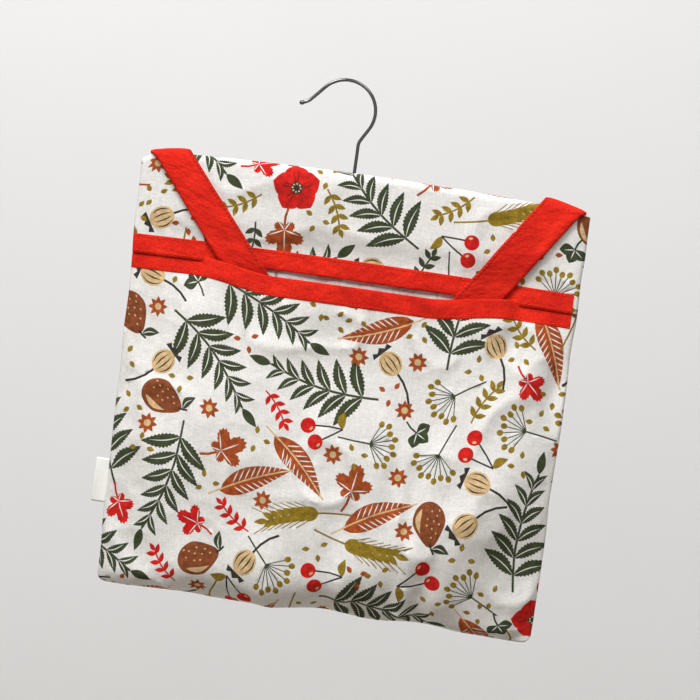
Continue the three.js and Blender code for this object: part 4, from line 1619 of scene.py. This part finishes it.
FLOOR_Z = -1.8
WALL_Y = 0.62
STAGE_SIZE = 6
LIGHT_AIM = (BAG_X * MM, 0, -0.2)
LIGHTS = (  # name, place, size and power
    ("left_window", (-0.85, -1.25, 1.65), 1.0, 66),
    ("right_window", (0.75, -1.3, 1.65), 1.0, 26),
    ("front", (-0.1, -1.95, -0.1), 1.2, 2),
)
ROOM_DIM = (0.1, 0.09, 0.077, 1)
CAMERA_AZIMUTH = math.radians(2)
CAMERA_ELEVATION = math.radians(1)
CAMERA_ROLL = math.radians(8)
CAMERA_DISTANCE = 1700
CAMERA_AIM = (27.2, -8, -186)
FRAME_WIDTH = 490


def stage_plane(name, place, turn, material):
    bpy.ops.mesh.primitive_plane_add(size=STAGE_SIZE, location=place, rotation=turn)
    plane = bpy.context.object
    plane.name = name
    plane.data.materials.append(material)
    plane.select_set(False)


def soft_light(name, place, size, power):
    light = bpy.data.lights.new(name, "AREA")
    light.size = size
    light.energy = power
    lamp = bpy.data.objects.new(name, light)
    lamp.location = place
    lamp.rotation_euler = (Vector(LIGHT_AIM) - Vector(place)).to_track_quat("-Z", "Y").to_euler()
    bpy.context.collection.objects.link(lamp)


def room():
    """Dim warm light; where it is seen or mirrored, the room is pale, and greyer at its sides."""
    finish = Finish("studio", bpy.data.worlds.new("studio"))
    rays = finish.add("LightPath", out="Is Camera Ray")
    mirrored = Value(finish, rays.socket.node.outputs["Is Glossy Ray"])
    passed = Value(finish, rays.socket.node.outputs["Is Transmission Ray"])
    seen = rays.maths("MAXIMUM", rays.maths("MAXIMUM", rays, mirrored), passed)
    towards = finish.add("SeparateXYZ", {0: finish.add("TexCoord", out="Generated")})
    ends = finish.mix(towards * towards, srgb(236, 236, 237), srgb(176, 175, 174))
    return finish.shown(finish.add("Background", {"Color": finish.mix(seen, ROOM_DIM, ends)}), "World")


def stage():
    stage_plane("floor", (0, 0, FLOOR_Z), (0, 0, 0), floor_finish())
    stage_plane("wall", (0, WALL_Y, 0), (math.pi / 2, 0, 0), wall_finish())
    for light in LIGHTS:
        soft_light(*light)
    bpy.context.scene.world = room()
    bpy.context.scene.view_settings.view_transform = "Standard"


def camera():
    """Looks straight at the bag, rolled so that the bag hangs askew in the picture."""
    turn = Matrix.Rotation(CAMERA_AZIMUTH, 4, "Z") @ Matrix.Rotation(math.pi / 2 - CAMERA_ELEVATION, 4, "X")
    turn = turn @ Matrix.Rotation(CAMERA_ROLL, 4, "Z")
    aim = Matrix.Translation(Vector(CAMERA_AIM) * MM)
    lens = bpy.data.cameras.new("camera")
    lens.lens = lens.sensor_width * CAMERA_DISTANCE / FRAME_WIDTH
    eye = bpy.data.objects.new("camera", lens)
    eye.matrix_world = aim @ turn @ Matrix.Translation((0, 0, CAMERA_DISTANCE * MM))
    bpy.context.collection.objects.link(eye)
    bpy.context.scene.camera = eye


def dress_node(name, material):
    """Gives a carried-over CAD node its finish."""
    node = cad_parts[name]
    node.data.materials.clear()
    node.data.materials.append(material)


# Assembly

printed_cotton = cotton_finish("printed_cotton", 1.0)
cotton_reverse = cotton_finish("cotton_reverse", 0.25)
red_cotton = red_finish()
red_thread = thread_finish()
label_tape = label_finish()
drawn_steel = steel_finish()
bare_beech = wood_finish()

hook_wire()
dress_node("shank_washer", drawn_steel)
dress_node("hanger_bar", bare_beech)
back_panel()
front_yoke()
front_pouch()
bindings()
shoulder_strap()
side_label()
stage()
camera()
